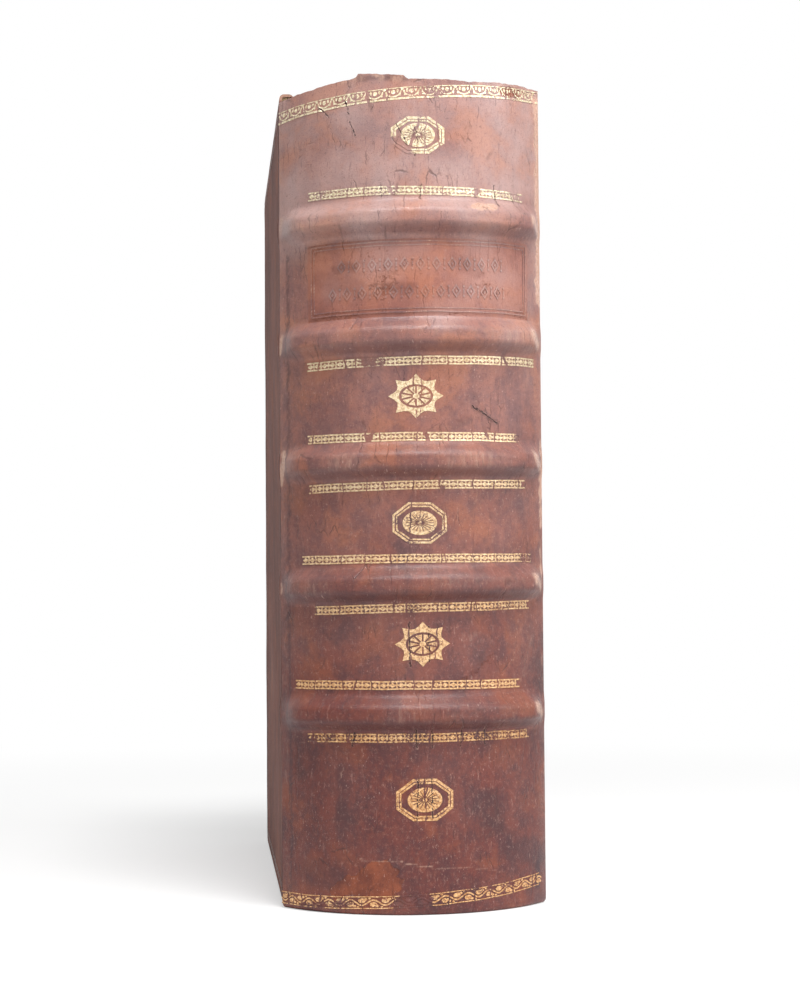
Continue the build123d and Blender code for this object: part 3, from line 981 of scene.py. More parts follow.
def octagon(name, s0, z0, width, height, petals, loss, thin=1.0):
    """A double octagon round a daisy."""
    corner = 22.5
    grown = 1 / math.cos(math.radians(corner))
    wide, tall = width * grown, height * grown
    outer = hollow_out(oval(0, 0, wide, tall, 8, corner), 0.78 * MM * thin)
    inner = hollow_out(oval(0, 0, wide - 2.3 * MM, tall - 2.2 * MM, 8, corner), 0.55 * MM * thin)
    frames = [divide(outer, 4), divide(inner, 4)]
    core = daisy(8.9 * MM, 6.0 * MM, petals, 0.13 * MM, 1.5 * MM)
    rim = divide(hollow_out(oval(0, 0, 10.7 * MM, 7.5 * MM, 32), 0.95 * MM), 2)
    return lay(join("octagon", [*frames, *core, rim]), name, s0 * MM, z0 * MM, 0.01, 0, loss)


def star(name, s0, z0, loss):
    """A star of eight points round a flower."""
    start()
    bpy.ops.mesh.primitive_circle_add(vertices=32, radius=0.5, rotation=(FACING, 0, 0))
    edge = settle("edge")
    points = read_points(edge)
    turn = np.round(np.degrees(np.arctan2(points[:, 0], points[:, 2])) / 11.25).astype(int) % 4
    reach = STAR_REACH[turn]
    diagonal = np.abs(np.abs(points[:, 0]) - np.abs(points[:, 2])) < 0.01
    reach = reach * np.where(diagonal, 1.03, 1.0)
    points *= reach[:, None]
    write_points(edge, points * STAR_SIZE)
    start()
    bpy.ops.mesh.primitive_circle_add(vertices=32, radius=0.5, rotation=(FACING, 0, 0))
    hole = settle("hole")
    write_points(hole, read_points(hole) * STAR_HOLE)
    body = join("body", [edge, hole])
    pick(body, "edges", lambda a, b: True)
    bpy.ops.mesh.bridge_edge_loops()
    bpy.ops.mesh.normals_make_consistent(inside=False)
    divide(body, 2)
    parts = [body, *daisy(9.9 * MM, 6.7 * MM, 10, 0.27 * MM, 2.1 * MM)]
    return lay(join("star", parts), name, s0 * MM, z0 * MM, 0.01, 0, loss)


gilt_pieces.append(octagon("gilt_octagon_1", 0.5, 240.3, 16.8 * MM, 11.6 * MM, 20, 0.12))
gilt_pieces.append(star("gilt_star_1", -0.7, 159.1, 0.05))
gilt_pieces.append(octagon("gilt_octagon_2", 0.2, 119.9, 16.9 * MM, 12.7 * MM, 20, 0.16, 0.85))
gilt_pieces.append(star("gilt_star_2", 0.8, 82.7, 0.10))
gilt_pieces.append(octagon("gilt_octagon_3", 1.1, 35.1, 17.6 * MM, 12.8 * MM, 18, 0.12))

# %% [markdown]
# ## The title field
# A double rule frames the label. Inside it are two rows of plain blind tooling: lozenges
# and dots pressed without gold, long since rubbed. They are drawn and laid exactly as the
# gold is, and get a dull finish of their own.

# %% Frame the title field
FRAME = (-34.9 * MM, 39.6 * MM, 185.3 * MM, 207.2 * MM)
BLIND_LIFT = GOLD_LIFT + LABEL_LIFT
# Each row: height at the middle and where it starts, then how many lozenges and their pitch.
BLIND_ROWS = ((200.2, -24.0, 11, 5.0), (191.6, -27.0, 12, 4.9))


def upright(x, z0, z1, width):
    """A thin upright strip: a level one, turned by a quarter about the middle."""
    piece = strip(z0, z1, -x, width)
    flat = read_points(piece)
    write_points(piece, np.stack([-flat[:, 2], flat[:, 1], flat[:, 0]], 1))
    return piece


def rules_round(frame_box, inset, width):
    """Four strips round a field."""
    left, right, low, high = frame_box
    parts = [strip(left + inset, right - inset, z, width) for z in (low + inset, high - inset)]
    for x in (left + inset, right - inset):
        parts.append(upright(x, low + inset, high - inset, width))
    return parts


blind_pieces = []
double_rule = rules_round(FRAME, 0, 0.4 * MM) + rules_round(FRAME, 1.1 * MM, 0.3 * MM)
frame_rules = join("frame_rules", double_rule)
blind_pieces.append(lay(frame_rules, "label_frame_rules", 0, 0, LABEL_TILT, 0, 0.32, BLIND_LIFT))
lozenge = join("lozenge", [
    divide(hollow_out(oval(0, 0, 3.0 * MM, 4.4 * MM, 4), 0.45 * MM), 1),
    oval(0, 0, 0.9 * MM, 1.2 * MM, 4),
    oval(2.5 * MM, 1.5 * MM, 0.8 * MM, 0.8 * MM, 8), oval(2.5 * MM, -1.5 * MM, 0.8 * MM, 0.8 * MM, 8),
    upright(2.5 * MM, -0.7 * MM, 0.7 * MM, 0.4 * MM),
])
for number, (height, s0, count, pitch) in enumerate(BLIND_ROWS, 1):
    row = repeat(copy_of(lozenge), pitch * MM, count)
    name = f"label_blind_row_{number}"
    blind_pieces.append(lay(row, name, s0 * MM, height * MM, LABEL_TILT, 0, 0.36, BLIND_LIFT))
bpy.data.objects.remove(lozenge)

# %% [markdown]
# ## Fillets on the covers
# The covers' fields can't be seen in the photograph. Plain calf of this kind nearly always
# has a double line, called a fillet, pressed blind round each cover. The same strips serve,
# and the rule for the cover's skin lays them on it.

# %% Rule the covers
FILLET_INSET = 4.5 * MM
for side, name in ((1, "front"), (-1, "back")):
    low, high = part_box(f"{name}_leather")
    field = (low.y, high.y, low.z, high.z)
    rules = rules_round(field, FILLET_INSET, 0.5 * MM)
    rules += rules_round(field, FILLET_INSET + 1.3 * MM, 0.35 * MM)
    fillet = join("fillet", rules)
    modify(fillet, "SOLIDIFY", thickness=LEAF, offset=0)
    flat = read_points(fillet)
    y, z = flat[:, 0], flat[:, 2]
    face = high.x if side > 0 else low.x
    x = face + side * (cover_lift(side, y, z, low, high) + GOLD_LIFT - flat[:, 1])
    write_points(fillet, np.stack([x, y, z], 1))
    if side > 0:
        edit_all(fillet)
        bpy.ops.mesh.flip_normals()
        start()
    wear, _, tone = cover_wear(side, y, z, low, high)
    mark(fillet, wear, tone)
    write_uv(fillet, y, z)
    numbers = fillet.data.attributes.new("worn", "FLOAT", "POINT")
    numbers.data.foreach_set("value", np.clip(0.12 + wear[:, 0], 0, 0.4))
    fillet.name = fillet.data.name = f"{name}_blind_fillet"
    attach(fillet, f"{name}_cover")
    blind_pieces.append(fillet)
    report(fillet)

# %% [markdown]
# ## Small tools for finishes
# A finish is a network of nodes. Written out by hand each node takes four lines, so these
# helpers add a node, set it and connect it in one. Colours are given as they look on a
# screen, from 0 to 255, and turned into the linear values that light adds up in.

# %% Helpers for finishes
def colour(red, green, blue):
    """A screen colour as linear values."""
    linear = []
    for value in (red, green, blue):
        share = value / 255
        linear.append(share / 12.92 if value <= 10 else ((share + 0.055) / 1.055) ** 2.4)
    return (*linear, 1)


def put(socket, value):
    """Connects an output to a socket, or sets the socket's own value."""
    if isinstance(value, bpy.types.NodeSocket):
        socket.id_data.links.new(value, socket)
    else:
        socket.default_value = value


def node(tree, kind, inputs, output=0, **settings):
    """Adds a node, fills its inputs, by name or number, and returns an output."""
    made = tree.nodes.new(kind)
    for key, value in settings.items():
        setattr(made, key, value)
    for key, value in inputs.items():
        put(made.inputs[key], value)
    return made.outputs[output] if made.outputs else made


def calc(tree, operation, first, second=0.0, third=0.0):
    """A sum, product or other rule for two or three numbers."""
    return node(tree, "ShaderNodeMath", {0: first, 1: second, 2: third}, operation=operation)


def blend(tree, share, first, second):
    """One colour over another by a share from 0 to 1: a Mix node's sockets 6 and 7."""
    return node(tree, "ShaderNodeMix", {0: share, 6: first, 7: second}, output=2, data_type="RGBA")


def ramp(tree, value, low, high, start_at=0.0, end_at=1.0):
    """A number turned into a soft step between two values."""
    limits = {"Value": value, "From Min": low, "From Max": high, "To Min": start_at, "To Max": end_at}
    return node(tree, "ShaderNodeMapRange", limits, interpolation_type="SMOOTHSTEP")


# %% [markdown]
# ## Places and noise
# Every pattern starts at a place. Object coordinates measure it in the object itself, and
# an attribute carries what a vertex was told. Soft noise then gives clouds; stretching the
# place first gives streaks, and adding a little noise to the place makes edges wander.

# %% Helpers for places and noise
def object_place(tree):
    """Where a point lies in the object: output 3 of Texture Coordinate, named Object."""
    return node(tree, "ShaderNodeTexCoord", {}, output=3)


def told(tree, name, output="Fac"):
    """What the vertices were told in an attribute."""
    return node(tree, "ShaderNodeAttribute", {}, output=output, attribute_name=name)


def stirred(tree, where, scale, detail, reach, **settings):
    """A place moved about by noise; reach is the whole width of the stir."""
    noise_inputs = {"Vector": where, "Scale": scale, "Detail": detail}
    away = node(tree, "ShaderNodeTexNoise", noise_inputs, output=1, **settings)
    away = node(tree, "ShaderNodeVectorMath", {0: away, 1: (0.5, 0.5, 0.5)}, operation="SUBTRACT")
    away = node(tree, "ShaderNodeVectorMath", {0: away, "Scale": reach}, operation="SCALE")
    return node(tree, "ShaderNodeVectorMath", {0: where, 1: away}, operation="ADD")


def cloud(tree, where, scale, detail=4, roughness=0.55, distortion=0.0):
    """Soft noise; scale is the number of features in a metre."""
    settings = {"Vector": where, "Scale": scale, "Detail": detail, "Roughness": roughness,
                "Distortion": distortion}
    return node(tree, "ShaderNodeTexNoise", settings)


def stretch(tree, where, x, y, z, turn=0.0):
    """Coordinates scaled along each axis, and turned about z."""
    settings = {"Vector": where, "Scale": (x, y, z), "Rotation": (0, 0, turn)}
    return node(tree, "ShaderNodeMapping", settings)


def new_finish(name):
    """A material with its tree and its shader."""
    finish = bpy.data.materials.new(name)
    finish.use_nodes = True
    tree = finish.node_tree
    return finish, tree, tree.nodes["Principled BSDF"]


def dress(piece, finish):
    """Gives a piece one finish."""
    piece.data.materials.clear()
    piece.data.materials.append(finish)


# %% [markdown]
# ## Old calf
# Calf is stained, polished and then lives for two hundred years. Its colour is several
# layers: a broad mottle of red-brown and nearly black, a rosy paling towards the head that is
# partly faded skin and partly painted light from above, pores and pale dust scratches, and a
# net of fine cracks that run up and down the spine, because the round bends the skin across
# them. The layers sit in one node group, so the skin under worn gold can use the very same
# pattern. The group reads the skin's own flat coordinates, which keeps the grain the same size
# on the round as on the boards.

# %% Draw the main cracks
# Main cracks: start s and z, end s and z and half their width, in millimetres.
CRACKS = (
    (-32.2, 251, -28.5, 247.7, 0.27), (-22.5, 252.1, -21.2, 247.5, 0.19), (-21.0, 245.2, -19.3, 240.6, 0.24),
    (-12.8, 252.6, -13.6, 249.0, 0.15), (-0.5, 242.6, 0.5, 240.3, 0.13), (0.5, 240.3, -0.4, 234.0, 0.13),
    (-6.4, 243.9, -2.6, 237.2, 0.22), (26.2, 226.0, 27.0, 219.0, 0.18), (33.0, 224.5, 36.0, 217.5, 0.18),
    (-11.2, 225.5, -10.8, 221.0, 0.16), (1.4, 225.0, 1.0, 220.4, 0.18), (17.4, 156.3, 26.6, 151.3, 0.26),
    (22.0, 156.0, 23.6, 150.6, 0.15), (-3.4, 89.5, -3.2, 76.0, 0.26), (2.6, 88.0, 2.9, 77.2, 0.22),
    (-20.5, 55.5, -21.5, 51.5, 0.26), (-1.6, 56.8, -1.2, 50.9, 0.26), (3.4, 56.8, 3.6, 51.0, 0.26),
    (12.8, 57.2, 12.6, 51.4, 0.22), (20.4, 57.4, 20.8, 51.8, 0.22), (-0.9, 41.5, -1.4, 28.6, 0.22),
    (3.2, 41.6, 3.4, 28.8, 0.22),
)


def crack_gap(tree, where, line):
    """How many half widths of a crack a place is away from it."""
    a0, b0, a1, b1, half_width = (value * MM for value in line)
    along = Vector((a1 - a0, b1 - b0, 0))
    away = node(tree, "ShaderNodeVectorMath", {0: where, 1: (a0, b0, 0)}, operation="SUBTRACT")
    scaled = tuple(along / along.length_squared)
    share = node(tree, "ShaderNodeVectorMath", {0: away, 1: scaled}, output=1, operation="DOT_PRODUCT")
    share = node(tree, "ShaderNodeClamp", {"Value": share})
    foot = node(tree, "ShaderNodeVectorMath", {0: tuple(along), "Scale": share}, operation="SCALE")
    gap = node(tree, "ShaderNodeVectorMath", {0: away, 1: foot}, output=1, operation="DISTANCE")
    return calc(tree, "DIVIDE", gap, half_width)


# %% [markdown]
# ## What the layers read
# The group reads the marks that each vertex got, splits the wear into its three colours and
# makes its noises: broad ones for mottle and blotches, finer ones for grain and pores, and
# two that are drawn out along the spine for streaks and dust.

# %% Start the group and make its noises
calf_layers = bpy.data.node_groups.new("calf_layers", "ShaderNodeTree")
for name, kind in (("Colour", "Color"), ("Roughness", "Float"), ("Height", "Float"), ("Splits", "Float")):
    calf_layers.interface.new_socket(name, in_out="OUTPUT", socket_type=f"NodeSocket{kind}")
tree = calf_layers
flat_place = node(tree, "ShaderNodeUVMap", {}, uv_map="skin")
parts_of_wear = tree.nodes.new("ShaderNodeSeparateColor")
put(parts_of_wear.inputs[0], told(tree, "wear", "Color"))
rubbed_and_sheen, skinned, stained_and_shaded = parts_of_wear.outputs
tone = told(tree, "tone")

mottle = cloud(tree, flat_place, 48, 6, 0.62, 0.3)
blotch = cloud(tree, stretch(tree, flat_place, 1, 0.7, 1), 150, 9, 0.74, 0.2)
grain = cloud(tree, flat_place, 620, 8, 0.85)
pores = cloud(tree, flat_place, 2600, 3, 0.7)
streaks = cloud(tree, stretch(tree, flat_place, 1, 0.20, 1), 680, 7, 0.80)
dust = cloud(tree, stretch(tree, flat_place, 1, 0.40, 1), 1500, 5, 0.8)
print("marks and noises", len(calf_layers.nodes), "nodes")

# %% [markdown]
# ## The calf's colours
# Like a finisher's stains, the colours go on one over another. The ground is darker low down
# and rosier high up, partly faded skin and partly painted light from above with painted shade
# below. Over it lie a bloom that is partly dust and partly painted sheen, grain, streaks, torn
# places, stains with the painted shade under the bands, rubbed places with the painted highlight
# on the band crests, scratches and specks, each where one noise or one mark is strong enough.

# %% Paint the calf
# The deep colours low down and the paler ones high up, mixed by tone, are partly the skin's own fading and
# partly painted light from above with painted shade below.
deep_and_shaded = blend(tree, ramp(tree, blotch, 0.36, 0.62), colour(79, 42, 43), colour(104, 50, 42))
deep_and_shaded = blend(tree, ramp(tree, mottle, 0.50, 0.66, 0, 0.68), deep_and_shaded, colour(128, 66, 44))
deep_and_shaded = blend(tree, ramp(tree, mottle, 0.47, 0.33, 0, 0.68), deep_and_shaded, colour(60, 36, 39))
faded_and_lit = blend(tree, ramp(tree, blotch, 0.36, 0.62), colour(132, 94, 90), colour(158, 110, 98))
faded_and_lit = blend(tree, ramp(tree, mottle, 0.48, 0.64, 0, 0.7), faded_and_lit, colour(176, 118, 93))
faded_and_lit = blend(tree, ramp(tree, mottle, 0.46, 0.32, 0, 0.5), faded_and_lit, colour(120, 90, 92))
paint = blend(tree, tone, deep_and_shaded, faded_and_lit)
# Near the head a grey bloom is painted, partly dust and partly painted sheen, thinner where the skin is
# orange.
bloom_and_sheen = calc(tree, "MULTIPLY", ramp(tree, tone, 0.76, 1.0, 0, 0.62), ramp(tree, mottle, 0.40, 0.62, 1, 0.45))
paint = blend(tree, bloom_and_sheen, paint, colour(178, 152, 147))
paint = blend(tree, ramp(tree, grain, 0.53, 0.70, 0, 0.68), paint, colour(62, 36, 38))
paint = blend(tree, ramp(tree, grain, 0.47, 0.30, 0, 0.52), paint, colour(180, 136, 120))
paint = blend(tree, ramp(tree, streaks, 0.55, 0.72, 0, 0.55), paint, colour(66, 38, 40))
paint = blend(tree, ramp(tree, streaks, 0.44, 0.29, 0, 0.50), paint, colour(176, 134, 120))
raw = blend(tree, ramp(tree, blotch, 0.35, 0.65), colour(98, 48, 34), colour(140, 76, 50))
torn = ramp(tree, calc(tree, "ADD", skinned, calc(tree, "MULTIPLY_ADD", grain, 1.1, -0.55)), 0.38, 0.60)
paint = blend(tree, calc(tree, "MULTIPLY", torn, 0.8), paint, raw)
# Stains darken the skin, and so does the painted shade under each band.
stain_and_shade = calc(tree, "MULTIPLY", stained_and_shaded, ramp(tree, blotch, 0.30, 0.62, 0.55, 1.0))
paint = blend(tree, stain_and_shade, paint, colour(56, 36, 42))
# Rubbed places pale the skin; on the band crests this paleness is also a painted highlight.
pale_rub_and_sheen = ramp(tree, calc(tree, "ADD", rubbed_and_sheen, calc(tree, "MULTIPLY_ADD", streaks, 2.4, -1.2)), 0.2, 0.9)
pale_rub_and_sheen = calc(tree, "MULTIPLY", pale_rub_and_sheen, ramp(tree, rubbed_and_sheen, 0.0, 0.9, 0.0, 0.8))
paint = blend(tree, pale_rub_and_sheen, paint, colour(196, 158, 138))
scratch = ramp(tree, dust, 0.59, 0.67, 0, 0.7)
scratch = calc(tree, "MULTIPLY", scratch, ramp(tree, cloud(tree, flat_place, 70, 3), 0.42, 0.60, 0.3, 1))
paint = blend(tree, scratch, paint, colour(200, 166, 152))
specks = ramp(tree, pores, 0.58, 0.68, 0, 0.65)
paint = blend(tree, specks, paint, colour(50, 30, 30))
print("with colours", len(calf_layers.nodes), "nodes")

# %% [markdown]
# ## Cracks and their lips
# Dry calf cracks into long cells. A Voronoi pattern drawn out along the spine gives the fine
# net, and a larger one gives splits that part the gold. The few long cracks that catch the
# eye are lines of their own: each measures how far a place is from it, and the least counts.

# %% Crack the calf
place = stirred(tree, flat_place, 420, 3, 1.6 * MM, noise_dimensions="2D")
# Fine cracks: cell walls, drawn out up and down, and only in places.
cells = {"Vector": stretch(tree, place, 1, 0.22, 1), "Scale": 300}
walls = node(tree, "ShaderNodeTexVoronoi", cells, feature="DISTANCE_TO_EDGE", voronoi_dimensions="2D")
where_cracked = ramp(tree, cloud(tree, flat_place, 95, 4), 0.50, 0.66)
fine = calc(tree, "MULTIPLY", ramp(tree, walls, 0.006, 0.040, 1, 0), where_cracked)
cracks = calc(tree, "MULTIPLY", fine, 0.55)
# Long splits: the same walls, larger and drawn out further. They part the gold, but in the
# dark skin they hardly show.
cells = {"Vector": stretch(tree, place, 1, 0.10, 1), "Scale": 120}
long_walls = node(tree, "ShaderNodeTexVoronoi", cells, feature="DISTANCE_TO_EDGE", voronoi_dimensions="2D")
splits = calc(tree, "MULTIPLY", ramp(tree, long_walls, 0.008, 0.035, 1, 0), ramp(tree, blotch, 0.36, 0.5))
hidden = calc(tree, "MULTIPLY", splits, ramp(tree, cloud(tree, flat_place, 130, 3), 0.50, 0.68, 0.0, 0.4))
cracks = calc(tree, "MAXIMUM", cracks, hidden)
# The main cracks, at a place stirred finely, which makes their edges jagged.
jagged = stirred(tree, flat_place, 900, 4, 1.1 * MM, noise_dimensions="2D")
FAR_AWAY = 99.0
gap = FAR_AWAY
for line in CRACKS:
    gap = calc(tree, "MINIMUM", crack_gap(tree, jagged, line), gap)
cracks = calc(tree, "MAXIMUM", cracks, ramp(tree, gap, 0.35, 1.0, 1, 0))
# The skin curls up and pales on both sides of a crack.
lips = calc(tree, "SUBTRACT", ramp(tree, gap, 1.3, 2.3, 1, 0), ramp(tree, gap, 0.6, 1.2, 1, 0))
lips = calc(tree, "MULTIPLY", lips, ramp(tree, grain, 0.44, 0.60, 0, 0.8))
paint = blend(tree, calc(tree, "MULTIPLY", lips, 0.55), paint, colour(200, 156, 142))
paint = blend(tree, calc(tree, "MULTIPLY", cracks, 0.9), paint, colour(48, 27, 28))
print("with cracks", len(calf_layers.nodes), "nodes")

# %% [markdown]
# ## Relief and gloss
# The same noises raise and sink the surface, so colour and relief agree: cracks and torn
# places lie lower, lips stand up. Polished calf shines, a torn place is matt, and a rubbed
# one is smoother again.

# %% Give the calf its relief
height = calc(tree, "MULTIPLY_ADD", pores, 0.22, calc(tree, "MULTIPLY", streaks, 0.30))
height = calc(tree, "MULTIPLY_ADD", grain, 0.35, height)
height = calc(tree, "MULTIPLY_ADD", cracks, -0.65, height)
height = calc(tree, "MULTIPLY_ADD", lips, 0.5, height)
height = calc(tree, "MULTIPLY_ADD", torn, -0.50, height)
height = calc(tree, "MULTIPLY_ADD", blotch, 0.45, height)
gloss = calc(tree, "MULTIPLY_ADD", grain, 0.36, 0.17)
gloss = calc(tree, "MULTIPLY_ADD", rubbed_and_sheen, -0.08, gloss)
gloss = calc(tree, "MULTIPLY_ADD", torn, 0.30, gloss)
node(tree, "NodeGroupOutput", {0: paint, 1: gloss, 2: height, 3: calc(tree, "MAXIMUM", cracks, splits)})
print("calf layers", len(calf_layers.nodes), "nodes")


# %% [markdown]
# ## From layers to leather
# The same layers serve every calf piece. A tint sets the boards, which lay in the dark and
# gathered grey dust, and the label, which was dyed a warmer colour, apart from the spine.

# %% Make the calf finishes
GRAIN_DEPTH = 0.35 * MM


def calf_finish(name, tint, share, shine, dull=0.0):
    """A calf material whose colour leans towards a tint by a share; dull adds roughness."""
    finish, tree, shader = new_finish(name)
    layers = tree.nodes.new("ShaderNodeGroup")
    layers.node_tree = calf_layers
    paint = blend(tree, share, layers.outputs["Colour"], tint)
    put(shader.inputs["Base Color"], paint)
    put(shader.inputs["Roughness"], calc(tree, "ADD", layers.outputs["Roughness"], dull))
    shader.inputs["Specular IOR Level"].default_value = shine
    bump = {"Height": layers.outputs["Height"], "Distance": GRAIN_DEPTH, "Strength": 0.9}
    put(shader.inputs["Normal"], node(tree, "ShaderNodeBump", bump))
    return finish


spine_finish = calf_finish("spine_calf_finish", colour(120, 70, 60), 0.0, 0.34)
cover_finish = calf_finish("cover_calf_finish", colour(112, 70, 54), 0.35, 0.20, 0.36)
label_finish = calf_finish("label_calf_finish", colour(158, 88, 62), 0.30, 0.28)
dress(spine_calf, spine_finish)
dress(label, label_finish)
for name in ("front_calf", "back_calf"):
    dress(bpy.data.objects[name], cover_finish)

# %% [markdown]
# ## Worn gold
# Gold leaf is a metal, but so thin that it flakes off the high grain and leaves specks.
# A fine noise decides where it holds, and the attribute worn raises the bar where it was
# lost. Where it is gone the layers of old calf show, and the same cracks run through both.

# %% Make the gold and the blind tooling
def tooled_finish(name, high_up, low_down, metal, hold):
    """A finish for tooling. It has a dull and a bright colour high up, where the skin is paler,
    partly faded and partly painted light from above, and another pair low down; a noise mixes
    each pair, the bright colour painting glints. hold is how much of it is left, from 0 to 1."""
    finish, tree, shader = new_finish(name)
    layers = tree.nodes.new("ShaderNodeGroup")
    layers.node_tree = calf_layers
    flat_place = node(tree, "ShaderNodeUVMap", {}, uv_map="skin")
    flakes = cloud(tree, flat_place, 1700, 4, 0.65)
    patches = cloud(tree, flat_place, 210, 3, 0.6)
    left = calc(tree, "MULTIPLY_ADD", patches, 0.75, flakes)
    left = calc(tree, "SUBTRACT", calc(tree, "ADD", left, hold), told(tree, "worn"))
    left = ramp(tree, left, 0.92, 1.02)
    left = calc(tree, "MULTIPLY", left, ramp(tree, layers.outputs["Splits"], 0.35, 0.7, 1, 0))
    faded_and_lit = told(tree, "tone")
    glint = cloud(tree, flat_place, 1100, 5, 0.8)
    dull, lit = (blend(tree, faded_and_lit, *pair) for pair in zip(low_down, high_up))
    metal_colour = blend(tree, ramp(tree, glint, 0.40, 0.60), dull, lit)
    put(shader.inputs["Base Color"], blend(tree, left, layers.outputs["Colour"], metal_colour))
    put(shader.inputs["Metallic"], calc(tree, "MULTIPLY", left, metal))
    rough = node(tree, "ShaderNodeMix", {0: left, 2: layers.outputs["Roughness"], 3: 0.36})
    put(shader.inputs["Roughness"], rough)
    bump = {"Height": calc(tree, "ADD", layers.outputs["Height"], calc(tree, "MULTIPLY", left, 0.3)),
            "Distance": GRAIN_DEPTH, "Strength": 0.7}
    put(shader.inputs["Normal"], node(tree, "ShaderNodeBump", bump))
    return finish


# In each tooling finish the pair high up is paler, partly painted light from above, and the bright colour of
# each pair paints glints.
gold_finish = tooled_finish(
    "worn_gold_finish", (colour(186, 166, 132), colour(240, 228, 198)),
    (colour(166, 112, 68), colour(226, 182, 130)), 0.5, 0.36)
blind_finish = tooled_finish(
    "blind_tooling_finish", (colour(96, 56, 46), colour(128, 78, 64)),
    (colour(74, 42, 38), colour(94, 56, 50)), 0.0, 0.30)
for piece in gilt_pieces:
    dress(piece, gold_finish)
# The frame's blind rules are painted pale: a painted highlight on the pressed lines.
highlit_rule_finish = tooled_finish(
    "blind_rule_highlight_finish", (colour(160, 118, 104), colour(204, 164, 144)),
    (colour(124, 84, 74), colour(156, 112, 98)), 0.0, 0.30)
for piece in blind_pieces:
    dress(piece, highlit_rule_finish if piece is frame_rules else blind_finish)

# %% [markdown]
# ## Old paper edges
# The edges of the leaves are cut in one plough stroke and sprinkled with red drops off a
# brush. Each sheet shows as a hair-thin line across the thickness, so a noise is squeezed
# to a fine pitch along x and drawn out along y and z. That gives lines along the fore edge
# and along head and tail with one rule. Grime from fingers browns them in broad patches.

# %% Finish the leaves
leaves_finish, tree, shader = new_finish("sprinkled_leaves_finish")
place = object_place(tree)
sheets = cloud(tree, stretch(tree, place, 1, 0.0015, 0.0015), 5200, 4, 0.75)
gatherings = cloud(tree, stretch(tree, place, 1, 0.004, 0.004), 520, 3)
grime = cloud(tree, place, 30, 6, 0.65)
paper = blend(tree, ramp(tree, sheets, 0.34, 0.66), colour(164, 140, 108), colour(208, 190, 158))
paper = blend(tree, ramp(tree, gatherings, 0.45, 0.65, 0, 0.25), paper, colour(146, 118, 90))
paper = blend(tree, ramp(tree, grime, 0.48, 0.72, 0, 0.42), paper, colour(132, 100, 72))
# Dust lies on the head, where the book stands open to the air.
tall = node(tree, "ShaderNodeSeparateXYZ", {0: place}, output=2)
at_head = ramp(tree, tall, 252.8 * MM, 254.2 * MM)
dusty = calc(tree, "MULTIPLY", at_head, ramp(tree, grime, 0.35, 0.62, 0.2, 0.5))
paper = blend(tree, dusty, paper, colour(136, 118, 96))
for scale, size, most in ((620, 0.22, 0.75), (1500, 0.26, 0.6)):
    drops = node(tree, "ShaderNodeTexVoronoi", {"Vector": place, "Scale": scale})
    fallen = ramp(tree, cloud(tree, place, scale * 0.4, 2), 0.44, 0.60, 0, most)
    fallen = calc(tree, "MULTIPLY", fallen, ramp(tree, drops, size * 0.7, size, 1, 0))
    paper = blend(tree, fallen, paper, colour(142, 54, 44))
put(shader.inputs["Base Color"], paper)
shader.inputs["Roughness"].default_value = 0.85
shader.inputs["Specular IOR Level"].default_value = 0.2
bump = {"Height": sheets, "Distance": 0.25 * MM, "Strength": 0.8}
put(shader.inputs["Normal"], node(tree, "ShaderNodeBump", bump))
dress(leaves, leaves_finish)

# %% [markdown]
# ## Two-coloured thread
# The endbands are worked in two threads, three turns of red and three of undyed linen by
# turns. The attribute thread numbers the turns, so a remainder tells the colour. Fine noise
# drawn out round the core gives the strands of the thread.

# %% Finish the endbands
THREE_TURNS = 3
thread_finish, tree, shader = new_finish("endband_thread_finish")
place = object_place(tree)
in_pair = calc(tree, "MODULO", told(tree, "thread"), 2 * THREE_TURNS)
strands = cloud(tree, stretch(tree, place, 1, 0.3, 0.3), 5200, 3, 0.7)
linen = blend(tree, ramp(tree, strands, 0.3, 0.7), colour(150, 126, 90), colour(206, 186, 146))
red = blend(tree, ramp(tree, strands, 0.3, 0.7), colour(92, 36, 32), colour(148, 66, 54))
thread = blend(tree, calc(tree, "GREATER_THAN", in_pair, THREE_TURNS - 0.5), linen, red)
dirt = ramp(tree, cloud(tree, place, 160, 4), 0.45, 0.7, 0, 0.55)
put(shader.inputs["Base Color"], blend(tree, dirt, thread, colour(92, 70, 54)))
shader.inputs["Roughness"].default_value = 0.8
bump = {"Height": strands, "Distance": 0.15 * MM, "Strength": 0.8}
put(shader.inputs["Normal"], node(tree, "ShaderNodeBump", bump))
for piece in (head_band, tail_band):
    dress(piece, thread_finish)

# %% [markdown]
# ## Marbled endpapers
# A marbler drops colours on a bath, draws them into stripes and pulls a comb through, which
# turns the stripes into rows of small arches. Then the sheet is laid on and lifts them off.
# The same steps work in nodes. The place is stirred by a slow noise, the arches of a comb
# are added to its height, and the rest after a division picks one of the striped colours.

# %% Finish the endpapers
# The pitch of the comb's teeth, how high an arch rises and how wide a set of stripes is.
COMB = 8.5 * MM
ARCH = 8.0 * MM
STRIPES = 23.0 * MM
# Where each colour starts in a set of stripes, from 0 to 1, and the colour.
BATH = (
    (0.00, (132, 44, 38)), (0.20, (220, 204, 170)), (0.25, (44, 58, 82)), (0.44, (196, 152, 84)),
    (0.58, (132, 44, 38)), (0.70, (220, 204, 170)), (0.76, (66, 80, 64)), (0.93, (212, 192, 156)),
)
endpaper_finish, tree, shader = new_finish("marbled_endpaper_finish")
place = object_place(tree)
bath = stirred(tree, place, 26, 3, 20 * MM)
parts_of_place = tree.nodes.new("ShaderNodeSeparateXYZ")
put(parts_of_place.inputs[0], bath)
comb = calc(tree, "MULTIPLY", parts_of_place.outputs[1], math.pi / COMB)
comb = calc(tree, "ABSOLUTE", calc(tree, "SINE", comb))
drawn = calc(tree, "MULTIPLY_ADD", comb, ARCH, parts_of_place.outputs[2])
drawn = calc(tree, "MULTIPLY_ADD", cloud(tree, place, 70, 5, 0.65), 12 * MM, drawn)
